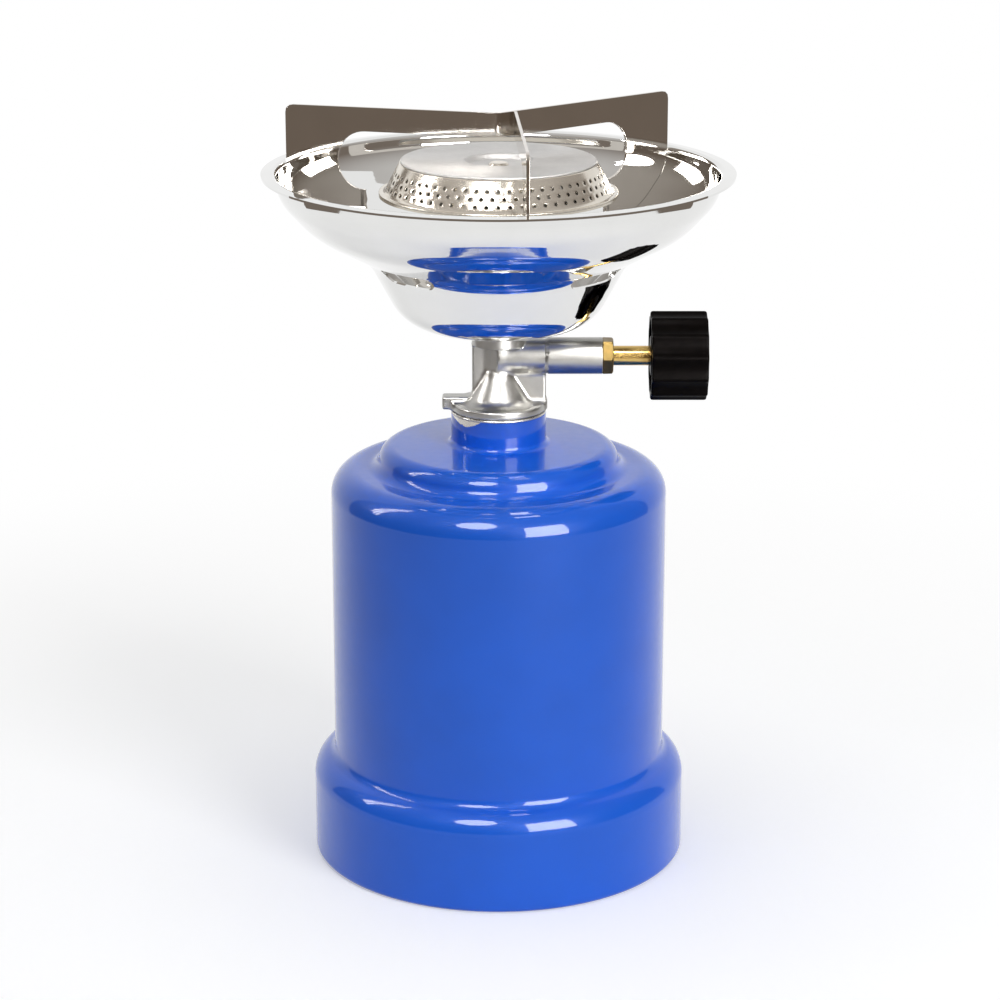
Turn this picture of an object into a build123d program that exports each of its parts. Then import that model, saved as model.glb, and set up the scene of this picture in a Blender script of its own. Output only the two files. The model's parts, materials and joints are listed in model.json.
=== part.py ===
"""Portable gas stove: a cartridge housing with a screw-in burner head.

Millimetres. The origin is the centre of the base on the floor, +Z is up and +X points along the
valve arm towards the knob. Positions follow one chain: base lid, cartridge, dome, neck, valve body,
bowl, burner, pan support.
"""

import math
import os

from build123d import *

os.makedirs("parts", exist_ok=True)

# Clearances and overrun
overrun = 1.0
fit_gap = 0.03
run_gap = 0.05
face_gap = 0.02
weld_gap = 0.05
move_gap = 0.3
run_share = 0.98
hex_sides = 6

# Gas cartridge
cartridge_d = 90.0
cartridge_h = 92.0
can_wall = 0.5
can_corner_r = 4.0
end_drop = 5.0
end_overlap = 6.0
end_flat_r = 18.0
pierce_r = 2.2

# Base lid and its bayonet
lid_wall = 0.8
lid_r = 46.2
lid_depth = 8.0
lid_corner_r = 1.6
bayonet_count = 3
tab_reach = 3.6
tab_w = 18.0
lug_z = 2.9
lug_t = 1.3
lug_reach = 4.2
lug_w = 21.0
lug_leg_t = 0.9
lug_leg_h = 4.0
lug_stop_t = 1.2
lug_stop_h = 2.2
grip_len = 62.0
grip_w = 8.0
grip_h = 7.0
grip_wall = 1.0
grip_end_r = 3.0

# Casing
casing_wall = 0.7
cartridge_side_gap = 2.3
skirt_step = 6.0
skirt_h = 27.1
skirt_rise = 2.8
hem_w = 2.6
hem_r = 1.6
skirt_shoulder_r = 7.0
skirt_root_r = 3.2
crown_headroom = 10.05
crown_round = 7.4
step_root_r = 1.6
tier_r = 33.5
tier_draft = 1.1
tier_h = 6.48
tier_round = 6.2
tier_rise = 0.6
neck_r = 13.5
neck_h = 8.87
neck_root_r = 1.0

# Threaded neck bush and the stub that screws into it
bush_len = 10.0
bush_rim_t = 0.6
stub_r = 11.0
thread_len = 12.0
nose_r = 9.6

# Seal, needle and filter at the lower end of the stub
gasket_t = 3.5
gasket_r = 9.0
gasket_hole_r = 3.0
needle_r = 1.6
needle_bore_r = 0.6
needle_reach = 9.0
needle_seat = 5.0
needle_tip_h = 3.0
pocket_r = 7.2
pocket_h = 6.0
filter_t = 2.0

# Valve body
flange_r = 13.3
flange_t = 2.4
cone_r = 9.8
cone_h = 8.6
tube_r = 4.0
arm_rise = 15.66
arm_root_r = 4.8
arm_root_len = 13.4
arm_r = 5.2
arm_len = 29.4
web_t = 4.0
web_left = 7.5
collar_r = 7.6
collar_t = 5.5
seat_rise = 8.9
spigot_r = 5.0
spigot_h = 9.0
stop_reach = 16.0
stop_w = 5.0
stop_h = 3.4
stop_lift = 0.1
passage_r = 0.9
passage_x = 5.8
jet_feed_r = 1.0
seat_x = 4.0
seat_bore_r = 0.8
chamber_r = 2.3
chamber_len = 7.0
gland_bore_r = 4.2
gland_depth = 6.2

# Valve spindle and what turns with it
spindle_r = 2.8
stem_r = 1.6
pin_r = 0.6
disc_r = 1.7
disc_t = 1.5
groove_depth = 0.8
groove_w = 1.2
groove_back = 1.6
washer_t = 2.2
nut_hex_r = 5.4
nut_t = 3.0
spindle_bare = 10.5
knob_r = 12.6
knob_len = 16.0
flute_count = 12
flute_land = 0.9
flute_depth = 0.8
flute_phase = 5.0
knob_edge_r = 0.5
knob_skin = 2.2
knob_hub_r = 5.6
knob_front_t = 5.5
knob_grip_len = 11.0
screw_r = 1.5
screw_head_r = 3.2
screw_head_t = 1.9
screw_len = 6.0
screw_well_r = 4.0
screw_well_depth = 2.4

# Jet and mixing tube
jet_r = 2.0
jet_thread_len = 5.0
jet_hex_r = 2.9
jet_head_h = 3.0
jet_hole_r = 0.3
bowl_washer_r = 9.5
bowl_washer_t = 1.0
mixer_wall = 1.2
mixer_len = 29.5
mixer_nut_r = 8.6
mixer_nut_h = 5.0
air_port_r = 2.6
air_port_count = 4

# Bowl
bowl_wall = 0.6
bowl_rim_r = 62.4
bowl_depth = 43.7
bowl_outline_shares = ((0.405, 0.0), (0.588, 0.446), (0.848, 0.606), (0.985, 0.840), (1.0, 1.0))
bowl_lip_w = 3.7
cup_round = 14.0
cup_shoulder_r = 12.0
dish_lower_r = 27.5
dish_upper_r = 12.0
lip_root_r = 1.0
air_slot_count = 4
air_slot_azimuth = -43.0
air_slot_len = 19.0
air_slot_w = 5.6
air_slot_pitch = 42.0

# Burner
burner_wall = 0.6
throat_h = 5.5
chamber_depth = 6.2
burner_r = 31.6
burner_flange_w = 1.8
ring_wall = 0.5
ring_h = 8.2
ring_top_r = 27.3
ring_ledge_w = 2.4
flame_holes = 60
flame_hole_r = 0.55
flame_row_shares = (0.22, 0.46, 0.70)
cap_wall = 0.6
cap_recess_r = 8.6
cap_recess_depth = 1.6
cap_recess_lean = 0.9
rivet_r = 1.5
rivet_head_r = 3.0
rivet_head_h = 0.8
baffle_r = 13.0
baffle_t = 0.6
baffle_drop = 3.2

# Pan support
pan_rise = 16.55
blade_t = 0.9
blade_azimuth = 38.0
blade_spread = 128.0
front_azimuth = -87.4
front_offset = 4.84
blade_bend_r = 4.0
blade_corner_r = 2.0
strip_h = 6.8
slot_h = 16.5
slot_end_r = 46.5
slot_round = 8.5
foot_r = 40.0


def turn_at(before, corner, after):
    """Signed turn in radians at a corner of an outline, positive to the left."""
    heading_in = math.atan2(corner[1] - before[1], corner[0] - before[0])
    heading_out = math.atan2(after[1] - corner[1], after[0] - corner[0])
    return math.remainder(heading_out - heading_in, math.tau)


def parallel(points, distance):
    """Corners of the open outline that runs at a distance to the left of another."""
    moved = []
    last = len(points) - 1
    for i, (x, y) in enumerate(points):
        start, end = points[max(i - 1, 0)], points[max(i, 1)]
        heading = math.atan2(end[1] - start[1], end[0] - start[0])
        turn = turn_at(points[i - 1], points[i], points[i + 1]) if 0 < i < last else 0
        back = distance * math.tan(turn / 2)
        moved.append((
            x - distance * math.sin(heading) - back * math.cos(heading),
            y + distance * math.cos(heading) - back * math.sin(heading),
        ))
    return moved


def fitted(points, radii):
    """Corner radii, held back alike where the two arcs on a run need more than its length."""
    bends = [
        math.tan(abs(turn_at(before, corner, after)) / 2)
        for before, corner, after in zip(points, points[1:], points[2:])
    ]
    needs = [0, *(radius * bend for radius, bend in zip(radii, bends)), 0]
    held = []
    for start, end, first, second in zip(points, points[1:], needs, needs[1:]):
        room = run_share * math.dist(start, end)
        held.append(1 if first + second <= room else room / (first + second))
    return [radius * min(before, after) for radius, before, after in zip(radii, held, held[1:])]


def parallel_radii(points, radii, distance):
    """Corner radii of the parallel outline: smaller at left turns, larger at right turns."""
    changed = []
    for i, radius in enumerate(radii, start=1):
        turn = turn_at(points[i - 1], points[i], points[i + 1])
        changed.append(max(radius - math.copysign(distance, turn), 0) if radius else 0)
    return changed


def sheet(points, radii, wall):
    """Closed section of a bent sheet: an outline and its parallel one wall to the left."""
    radii = fitted(points, radii)
    other_side = parallel(points, wall)
    other_radii = fitted(other_side, parallel_radii(points, radii, wall))
    corners = [*points, *reversed(other_side)]
    rounds = [0, *radii, 0, 0, *reversed(other_radii), 0]
    return corners, rounds


# Height chain
tab_z = lug_z + lug_t + face_gap
lid_z = tab_z + lid_depth
cartridge_z = lid_z + lid_wall + move_gap
cartridge_top = cartridge_z + cartridge_h
crown_z = cartridge_top + crown_headroom
tier_z = crown_z + tier_h
neck_root_z = tier_z + tier_rise
neck_top = neck_root_z + neck_h
bush_top = neck_top + face_gap + bush_rim_t
flange_z = bush_top + face_gap
thread_z = flange_z - thread_len
gasket_z = cartridge_top + face_gap
nose_z = gasket_z + gasket_t + face_gap
cone_z = flange_z + flange_t
tube_z = cone_z + cone_h
arm_z = flange_z + arm_rise
seat_z = arm_z + seat_rise
collar_z = seat_z - collar_t
spigot_top = seat_z + spigot_h
bowl_z = seat_z + face_gap
rim_z = bowl_z + bowl_depth
bowl_washer_z = bowl_z + bowl_wall + face_gap
mixer_z = bowl_washer_z + bowl_washer_t + face_gap
mixer_top = mixer_z + mixer_len
burner_z = mixer_top + chamber_depth
ring_z = burner_z + burner_wall + face_gap
ring_top = ring_z + ring_h
cap_z = ring_top + ring_wall + face_gap
pan_z = rim_z + pan_rise
strip_z = pan_z - strip_h
slot_z = strip_z - slot_h

# Radii that follow from others
cartridge_r = cartridge_d / 2
casing_r = cartridge_r + cartridge_side_gap + casing_wall
skirt_r = casing_r + skirt_step
skirt_inner_r = skirt_r - casing_wall
bush_r = neck_r - casing_wall - fit_gap
bush_bore_r = stub_r + run_gap
spindle_bore_r = spindle_r + run_gap
mixer_bore_r = spigot_r + fit_gap
mixer_r = mixer_bore_r + mixer_wall
throat_r = mixer_r + fit_gap

# Casing: hem, skirt, cylinder, stepped dome and neck drawn from one sheet
casing_outline = [
    (skirt_r - hem_w, 0),
    (skirt_r, 0),
    (skirt_r, skirt_h),
    (casing_r, skirt_h + skirt_rise),
    (casing_r, crown_z),
    (tier_r + tier_draft, crown_z),
    (tier_r, tier_z),
    (neck_r, neck_root_z),
    (neck_r, neck_top),
]
casing_rounds = [
    hem_r, skirt_shoulder_r, skirt_root_r, crown_round, step_root_r, tier_round, neck_root_r,
]
with BuildPart() as casing:
    corners, rounds = sheet(casing_outline, casing_rounds, casing_wall)
    with BuildSketch(Plane.XZ):
        with BuildLine():
            FilletPolyline(*corners, radius=rounds, close=True)
        make_face()
    revolve(axis=Axis.Z)
casing.part.label = "casing"
export_step(casing.part, "parts/casing.step")

# Neck bush: threaded sleeve with a thin bare rim on the neck's edge
with BuildPart() as neck_bush:
    with BuildSketch(Plane.XZ):
        with BuildLine():
            Polyline(
                (bush_bore_r, neck_top - bush_len),
                (bush_r, neck_top - bush_len),
                (bush_r, neck_top + face_gap),
                (neck_r, neck_top + face_gap),
                (neck_r, bush_top),
                (bush_bore_r, bush_top),
                close=True,
            )
        make_face()
    revolve(axis=Axis.Z)
neck_bush.part.label = "neck_bush"
export_step(neck_bush.part, "parts/neck_bush.step")

# Bayonet lugs: three ledges welded inside the skirt, each with a leg and an end stop
lug_outer_r = skirt_inner_r - fit_gap
lug_inner_r = skirt_inner_r - lug_reach
lug_mid_r = (lug_inner_r + skirt_r) / 2
lug_top = lug_z + lug_t
with BuildPart() as bayonet_lugs:
    with BuildSketch(Plane.XY.offset(lug_z)):
        with PolarLocations(lug_mid_r, bayonet_count):
            Rectangle(skirt_r - lug_inner_r, lug_w)
        Circle(lug_outer_r, mode=Mode.INTERSECT)
    extrude(amount=lug_t)
    with BuildSketch(Plane.XY.offset(lug_top)):
        with PolarLocations(lug_mid_r, bayonet_count):
            Rectangle(skirt_r - lug_inner_r, lug_w)
        Circle(lug_outer_r, mode=Mode.INTERSECT)
        Circle(lug_outer_r - lug_leg_t, mode=Mode.SUBTRACT)
    extrude(amount=lug_leg_h)
    with BuildSketch(Plane.XY.offset(lug_top)):
        with PolarLocations(lug_mid_r, bayonet_count):
            with Locations((0, (lug_stop_t - lug_w) / 2)):
                Rectangle(skirt_r - lug_inner_r, lug_stop_t)
        Circle(lug_outer_r, mode=Mode.INTERSECT)
    extrude(amount=lug_stop_h)
bayonet_lugs.part.label = "bayonet_lugs"
export_step(bayonet_lugs.part, "parts/bayonet_lugs.step")

# Base lid: pressed plate with a turned-down rim and three bayonet tabs
tab_outer_r = lid_r + lid_wall + tab_reach
with BuildPart() as base_lid:
    corners, rounds = sheet([(0, lid_z), (lid_r, lid_z), (lid_r, tab_z)], [lid_corner_r], lid_wall)
    with BuildSketch(Plane.XZ):
        with BuildLine():
            FilletPolyline(*corners, radius=rounds, close=True)
        make_face()
    revolve(axis=Axis.Z)
    with BuildSketch(Plane.XY.offset(tab_z)):
        with PolarLocations((lid_r + tab_outer_r) / 2, bayonet_count):
            Rectangle(tab_outer_r - lid_r + tab_reach, tab_w)
        Circle(tab_outer_r, mode=Mode.INTERSECT)
        Circle(lid_r, mode=Mode.SUBTRACT)
    extrude(amount=lid_wall)
base_lid.part.label = "base_lid"
export_step(base_lid.part, "parts/base_lid.step")

# Lid grip: folded channel welded under the lid for turning it
with BuildPart() as lid_grip:
    with BuildSketch(Plane.XY.offset(lid_z - face_gap)):
        RectangleRounded(grip_len, grip_w, grip_end_r)
    extrude(amount=-grip_h)
    with BuildSketch(Plane.XY.offset(lid_z - face_gap)):
        Rectangle(grip_len - grip_w, grip_w - grip_wall * 2)
    extrude(amount=grip_wall - grip_h, mode=Mode.SUBTRACT)
lid_grip.part.label = "lid_grip"
export_step(lid_grip.part, "parts/lid_grip.step")

# Cartridge can: a drawn cup
can_top = cartridge_top - end_drop - can_wall
with BuildPart() as cartridge_can:
    corners, rounds = sheet(
        [(0, cartridge_z), (cartridge_r, cartridge_z), (cartridge_r, can_top)], [can_corner_r], can_wall
    )
    with BuildSketch(Plane.XZ):
        with BuildLine():
            FilletPolyline(*corners, radius=rounds, close=True)
        make_face()
    revolve(axis=Axis.Z)
cartridge_can.part.label = "cartridge_can"
export_step(cartridge_can.part, "parts/cartridge_can.step")

# Cartridge end: domed top pushed into the can, with the hole that the needle has pierced
end_r = cartridge_r - can_wall - fit_gap
end_z = cartridge_top - can_wall
with BuildPart() as cartridge_end:
    end_outline = [
        (pierce_r, end_z),
        (end_flat_r, end_z),
        (end_r - can_wall, can_top),
        (end_r - can_wall, can_top - end_overlap),
    ]
    corners, rounds = sheet(end_outline, [end_flat_r, can_corner_r], can_wall)
    with BuildSketch(Plane.XZ):
        with BuildLine():
            FilletPolyline(*corners, radius=rounds, close=True)
        make_face()
    revolve(axis=Axis.Z)
cartridge_end.part.label = "cartridge_end"
export_step(cartridge_end.part, "parts/cartridge_end.step")

# Cartridge gasket: flat rubber ring between the cartridge and the stub
with BuildPart() as cartridge_gasket:
    with BuildSketch(Plane.XY.offset(gasket_z)):
        Circle(gasket_r)
        Circle(gasket_hole_r, mode=Mode.SUBTRACT)
    extrude(amount=gasket_t)
cartridge_gasket.part.label = "cartridge_gasket"
export_step(cartridge_gasket.part, "parts/cartridge_gasket.step")

# Piercing needle: hollow pin with a conical point, pressed into the stub
needle_tip_z = nose_z - needle_reach
needle_top = nose_z + needle_seat
with BuildPart() as piercing_needle:
    with BuildSketch(Plane.XZ):
        with BuildLine():
            Polyline(
                (needle_bore_r, needle_tip_z),
                (needle_r, needle_tip_z + needle_tip_h),
                (needle_r, needle_top),
                (needle_bore_r, needle_top),
                close=True,
            )
        make_face()
    revolve(axis=Axis.Z)
piercing_needle.part.label = "piercing_needle"
export_step(piercing_needle.part, "parts/piercing_needle.step")

# Gauze filter: disc in the pocket above the needle
with BuildPart() as gauze_filter:
    with BuildSketch(Plane.XY.offset(needle_top + face_gap)):
        Circle(pocket_r - fit_gap)
    extrude(amount=filter_t)
gauze_filter.part.label = "gauze_filter"
export_step(gauze_filter.part, "parts/gauze_filter.step")

# Valve body: turned core, flat web, side arm and stop lug, with its gas ways
chamber_x = seat_x + chamber_len
gland_x = arm_len - gland_depth
with BuildPart() as valve_body:
    with BuildSketch(Plane.XZ):
        with BuildLine():
            Polyline(
                (0, nose_z),
                (nose_r, nose_z),
                (nose_r, thread_z),
                (stub_r, thread_z),
                (stub_r, flange_z),
                (flange_r, flange_z),
                (flange_r, cone_z),
                (cone_r, cone_z),
                (tube_r, tube_z),
                (tube_r, collar_z),
                (collar_r, collar_z),
                (collar_r, seat_z),
                (spigot_r, seat_z),
                (spigot_r, spigot_top),
                (0, spigot_top),
                close=True,
            )
        make_face()
    revolve(axis=Axis.Z)
    with BuildSketch(Plane.XZ):
        with BuildLine():
            Polyline(
                (-web_left, cone_z - flange_t / 2),
                (arm_root_len, cone_z - flange_t / 2),
                (arm_root_len, arm_z),
                (0, collar_z),
                (-web_left, collar_z),
                close=True,
            )
        make_face()
    extrude(amount=web_t / 2, both=True)
    with BuildSketch(Plane.YZ):
        with Locations((0, arm_z)):
            Circle(arm_root_r)
    extrude(amount=arm_root_len)
    with BuildSketch(Plane.YZ.offset(arm_root_len)):
        with Locations((0, arm_z)):
            Circle(arm_r)
    extrude(amount=arm_len - arm_root_len)
    with BuildSketch(Plane.XY.offset(flange_z + stop_lift)):
        with Locations((-stop_reach / 2, 0)):
            RectangleRounded(stop_reach, stop_w, stop_w / 4)
    extrude(amount=stop_h)
    with Locations((0, 0, nose_z - overrun)):
        Cylinder(
            needle_r + fit_gap, needle_seat + overrun,
            align=(Align.CENTER, Align.CENTER, Align.MIN), mode=Mode.SUBTRACT,
        )
    with Locations((0, 0, needle_top)):
        Cylinder(pocket_r, pocket_h, align=(Align.CENTER, Align.CENTER, Align.MIN), mode=Mode.SUBTRACT)
    with Locations((passage_x, 0, needle_top)):
        Cylinder(
            passage_r, arm_z - needle_top,
            align=(Align.CENTER, Align.CENTER, Align.MIN), mode=Mode.SUBTRACT,
        )
    with Locations((0, 0, arm_z)):
        Cylinder(
            jet_feed_r, spigot_top - arm_z,
            align=(Align.CENTER, Align.CENTER, Align.MIN), mode=Mode.SUBTRACT,
        )
    with Locations((0, 0, spigot_top + overrun)):
        Cylinder(
            jet_r + fit_gap, jet_thread_len + overrun,
            align=(Align.CENTER, Align.CENTER, Align.MAX), mode=Mode.SUBTRACT,
        )
    for bore_x, bore_r in (
        (0, seat_bore_r), (seat_x, chamber_r), (chamber_x, spindle_bore_r), (gland_x, gland_bore_r),
    ):
        with BuildSketch(Plane.YZ.offset(bore_x)):
            with Locations((0, arm_z)):
                Circle(bore_r)
        extrude(amount=arm_len - bore_x + overrun, mode=Mode.SUBTRACT)
valve_body.part.label = "valve_body"
export_step(valve_body.part, "parts/valve_body.step")

# Seat disc: pad on the spindle's pin that closes the valve seat and doesn't turn
disc_x = seat_x + face_gap
with BuildPart() as seat_disc:
    with BuildSketch(Plane.YZ.offset(disc_x)):
        with Locations((0, arm_z)):
            Circle(disc_r)
            Circle(pin_r + run_gap, mode=Mode.SUBTRACT)
    extrude(amount=disc_t)
seat_disc.part.label = "seat_disc"
export_step(seat_disc.part, "parts/seat_disc.step")

# Valve spindle: pin, stem, threaded rod with seal groove, tapped outer end
stem_x = disc_x + disc_t + face_gap
rod_x = chamber_x + move_gap
nut_x = arm_len + face_gap
knob_x = nut_x + nut_t + spindle_bare
rod_end = knob_x + knob_grip_len
groove_x = gland_x - groove_back - groove_w
with BuildPart() as valve_spindle:
    for start_x, end_x, radius in (
        (disc_x + face_gap, stem_x, pin_r), (stem_x, rod_x, stem_r), (rod_x, rod_end, spindle_r),
    ):
        with BuildSketch(Plane.YZ.offset(start_x)):
            with Locations((0, arm_z)):
                Circle(radius)
        extrude(amount=end_x - start_x)
    with BuildSketch(Plane.YZ.offset(groove_x)):
        with Locations((0, arm_z)):
            Circle(spindle_r + overrun)
            Circle(spindle_r - groove_depth, mode=Mode.SUBTRACT)
    extrude(amount=groove_w, mode=Mode.SUBTRACT)
    with BuildSketch(Plane.YZ.offset(rod_end + overrun)):
        with Locations((0, arm_z)):
            Circle(screw_r + fit_gap)
    extrude(amount=-screw_len - overrun, mode=Mode.SUBTRACT)
valve_spindle.part.label = "valve_spindle"
export_step(valve_spindle.part, "parts/valve_spindle.step")

# Spindle seal: round rubber ring in the groove
ring_section_r = groove_depth / 2 - face_gap
with BuildPart() as spindle_oring:
    with BuildSketch(Plane.XZ):
        with Locations((groove_x + groove_w / 2, arm_z + spindle_r - groove_depth / 2)):
            Circle(ring_section_r)
    revolve(axis=Axis((0, 0, arm_z), (1, 0, 0)))
spindle_oring.part.label = "spindle_oring"
export_step(spindle_oring.part, "parts/spindle_oring.step")

# Gland washer: packing ring at the bottom of the gland bore
with BuildPart() as gland_washer:
    with BuildSketch(Plane.YZ.offset(gland_x + face_gap)):
        with Locations((0, arm_z)):
            Circle(gland_bore_r - fit_gap)
            Circle(spindle_bore_r, mode=Mode.SUBTRACT)
    extrude(amount=washer_t)
gland_washer.part.label = "gland_washer"
export_step(gland_washer.part, "parts/gland_washer.step")

# Gland nut: brass hexagon with a boss that presses on the washer
boss_x = gland_x + washer_t + face_gap * 2
with BuildPart() as gland_nut:
    with BuildSketch(Plane.YZ.offset(boss_x)):
        with Locations((0, arm_z)):
            Circle(gland_bore_r - fit_gap)
    extrude(amount=nut_x - boss_x)
    with BuildSketch(Plane.YZ.offset(nut_x)):
        with Locations((0, arm_z)):
            RegularPolygon(nut_hex_r, hex_sides)
    extrude(amount=nut_t)
    with BuildSketch(Plane.YZ.offset(boss_x - overrun)):
        with Locations((0, arm_z)):
            Circle(spindle_bore_r)
    extrude(amount=nut_x + nut_t - boss_x + overrun * 2, mode=Mode.SUBTRACT)
gland_nut.part.label = "gland_nut"
export_step(gland_nut.part, "parts/gland_nut.step")

# Knob: fluted moulding, hollow from the back round a hub that grips the spindle
flute_half = knob_r * math.sin(math.pi / flute_count) - flute_land / 2
flute_r = (flute_half**2 + flute_depth**2) / (flute_depth * 2)
flute_centre = math.sqrt(knob_r**2 - flute_half**2) + math.sqrt(flute_r**2 - flute_half**2)
knob_end = knob_x + knob_len
with BuildPart() as knob:
    with BuildSketch(Plane.YZ.offset(knob_x)):
        with Locations((0, arm_z)):
            Circle(knob_r)
    extrude(amount=knob_len)
    fillet(knob.edges(), knob_edge_r)
    with BuildSketch(Plane.YZ.offset(knob_x - overrun)):
        with Locations((0, arm_z)):
            with PolarLocations(flute_centre, flute_count, start_angle=flute_phase):
                Circle(flute_r)
    extrude(amount=knob_len + overrun * 2, mode=Mode.SUBTRACT)
    with BuildSketch(Plane.YZ.offset(knob_x - overrun)):
        with Locations((0, arm_z)):
            Circle(knob_r - knob_skin)
            Circle(knob_hub_r, mode=Mode.SUBTRACT)
    extrude(amount=knob_len - knob_front_t + overrun, mode=Mode.SUBTRACT)
    with BuildSketch(Plane.YZ.offset(knob_x - overrun)):
        with Locations((0, arm_z)):
            Circle(spindle_r + fit_gap)
    extrude(amount=knob_grip_len + overrun + face_gap, mode=Mode.SUBTRACT)
    with BuildSketch(Plane.YZ.offset(knob_x)):
        with Locations((0, arm_z)):
            Circle(screw_r + fit_gap)
    extrude(amount=knob_len + overrun, mode=Mode.SUBTRACT)
    with BuildSketch(Plane.YZ.offset(knob_end - screw_well_depth)):
        with Locations((0, arm_z)):
            Circle(screw_well_r)
    extrude(amount=screw_well_depth + overrun, mode=Mode.SUBTRACT)
knob.part.label = "knob"
export_step(knob.part, "parts/knob.step")

# Knob screw: round head in the well of the knob, shank in the spindle's end
head_x = knob_end - screw_well_depth + face_gap
with BuildPart() as knob_screw:
    with BuildSketch(Plane.YZ.offset(head_x)):
        with Locations((0, arm_z)):
            Circle(screw_head_r)
    extrude(amount=screw_head_t)
    fillet(knob_screw.edges().sort_by(Axis.X)[-1], screw_head_t / 2)
    with BuildSketch(Plane.YZ.offset(rod_end - screw_len + face_gap)):
        with Locations((0, arm_z)):
            Circle(screw_r)
    extrude(amount=head_x - rod_end + screw_len)
knob_screw.part.label = "knob_screw"
export_step(knob_screw.part, "parts/knob_screw.step")

# Gas jet: small hexagon nipple with a fine hole, screwed into the spigot
jet_z = spigot_top - jet_thread_len + face_gap
jet_head_z = spigot_top + face_gap
with BuildPart() as gas_jet:
    with BuildSketch(Plane.XY.offset(jet_z)):
        Circle(jet_r)
    extrude(amount=jet_head_z - jet_z)
    with BuildSketch(Plane.XY.offset(jet_head_z)):
        RegularPolygon(jet_hex_r, hex_sides)
    extrude(amount=jet_head_h)
    with BuildSketch(Plane.XY.offset(jet_z - overrun)):
        Circle(jet_hole_r)
    extrude(amount=jet_head_z + jet_head_h - jet_z + overrun * 2, mode=Mode.SUBTRACT)
gas_jet.part.label = "gas_jet"
export_step(gas_jet.part, "parts/gas_jet.step")

# Bowl: two-step pressed bowl with a flat lip and oval air slots
bowl_points = [
    (bowl_rim_r * r_share, bowl_z + bowl_depth * z_share) for r_share, z_share in bowl_outline_shares
]
bowl_outline = [(mixer_bore_r, bowl_z), *bowl_points, (bowl_rim_r + bowl_lip_w, rim_z)]
bowl_rounds = [cup_round, cup_shoulder_r, dish_lower_r, dish_upper_r, lip_root_r]
slot_corner_r, slot_corner_z = bowl_points[1]
slot_pitch = math.radians(air_slot_pitch)
slot_planes = []
for i in range(air_slot_count):
    angle = math.radians(air_slot_azimuth + 360 / air_slot_count * i)
    across, along = math.cos(angle), math.sin(angle)
    slot_planes.append(Plane(
        origin=(slot_corner_r * across, slot_corner_r * along, slot_corner_z),
        x_dir=(-along, across, 0),
        z_dir=(across * math.cos(slot_pitch), along * math.cos(slot_pitch), -math.sin(slot_pitch)),
    ))
with BuildPart() as bowl:
    corners, rounds = sheet(bowl_outline, bowl_rounds, bowl_wall)
    with BuildSketch(Plane.XZ):
        with BuildLine():
            FilletPolyline(*corners, radius=rounds, close=True)
        make_face()
    revolve(axis=Axis.Z)
    with BuildSketch(*slot_planes):
        SlotOverall(air_slot_len, air_slot_w)
    extrude(amount=air_slot_w, both=True, mode=Mode.SUBTRACT)
bowl.part.label = "bowl"
export_step(bowl.part, "parts/bowl.step")

# Bowl washer under the mixing tube's nut
with BuildPart() as bowl_washer:
    with BuildSketch(Plane.XY.offset(bowl_washer_z)):
        Circle(bowl_washer_r)
        Circle(mixer_bore_r, mode=Mode.SUBTRACT)
    extrude(amount=bowl_washer_t)
bowl_washer.part.label = "bowl_washer"
export_step(bowl_washer.part, "parts/bowl_washer.step")

# Mixing tube: screwed over the spigot, clamps the bowl, with air ports above the jet
port_z = spigot_top + jet_head_h + air_port_r
with BuildPart() as mixing_tube:
    with BuildSketch(Plane.XY.offset(mixer_z)):
        Circle(mixer_r)
    extrude(amount=mixer_len)
    with BuildSketch(Plane.XY.offset(mixer_z)):
        RegularPolygon(mixer_nut_r, hex_sides)
    extrude(amount=mixer_nut_h)
    with BuildSketch(Plane.XY.offset(mixer_z - overrun)):
        Circle(mixer_bore_r)
    extrude(amount=mixer_len + overrun * 2, mode=Mode.SUBTRACT)
    with Locations((0, 0, port_z)):
        with PolarLocations(mixer_r, air_port_count):
            Cylinder(air_port_r, mixer_r, rotation=(0, 90, 0), mode=Mode.SUBTRACT)
mixing_tube.part.label = "mixing_tube"
export_step(mixing_tube.part, "parts/mixing_tube.step")

# Burner base: funnel pressed over the mixing tube, with a flange for the flame ring
burner_outer_r = burner_r + burner_flange_w
with BuildPart() as burner_base:
    funnel = [
        (throat_r + burner_wall, mixer_top - throat_h),
        (throat_r + burner_wall, mixer_top),
        (burner_r - burner_flange_w, burner_z),
        (burner_outer_r, burner_z),
    ]
    corners, rounds = sheet(funnel, [burner_wall, burner_wall], burner_wall)
    with BuildSketch(Plane.XZ):
        with BuildLine():
            FilletPolyline(*corners, radius=rounds, close=True)
        make_face()
    revolve(axis=Axis.Z)
burner_base.part.label = "burner_base"
export_step(burner_base.part, "parts/burner_base.step")

# Flame ring: conical band with staggered rows of flame holes
ring_lean = math.degrees(math.atan2(burner_r - ring_top_r, ring_h))
with BuildPart() as burner_ring:
    band = [
        (burner_outer_r, ring_z),
        (burner_r, ring_z),
        (ring_top_r, ring_top),
        (ring_top_r - ring_ledge_w, ring_top),
    ]
    corners, rounds = sheet(band, [0, 0], -ring_wall)
    with BuildSketch(Plane.XZ):
        with BuildLine():
            FilletPolyline(*corners, radius=rounds, close=True)
        make_face()
    revolve(axis=Axis.Z)
    for row, share in enumerate(flame_row_shares):
        hole_r = burner_r + (ring_top_r - burner_r) * share
        hole_z = ring_z + ring_h * share
        half_step = 180 / flame_holes
        with PolarLocations(0, flame_holes, start_angle=half_step * (row % 2)):
            with Locations(Location((hole_r, 0, hole_z), (0, 90 - ring_lean, 0))):
                Cylinder(flame_hole_r, ring_wall * 4, mode=Mode.SUBTRACT)
burner_ring.part.label = "burner_ring"
export_step(burner_ring.part, "parts/burner_ring.step")

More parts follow.
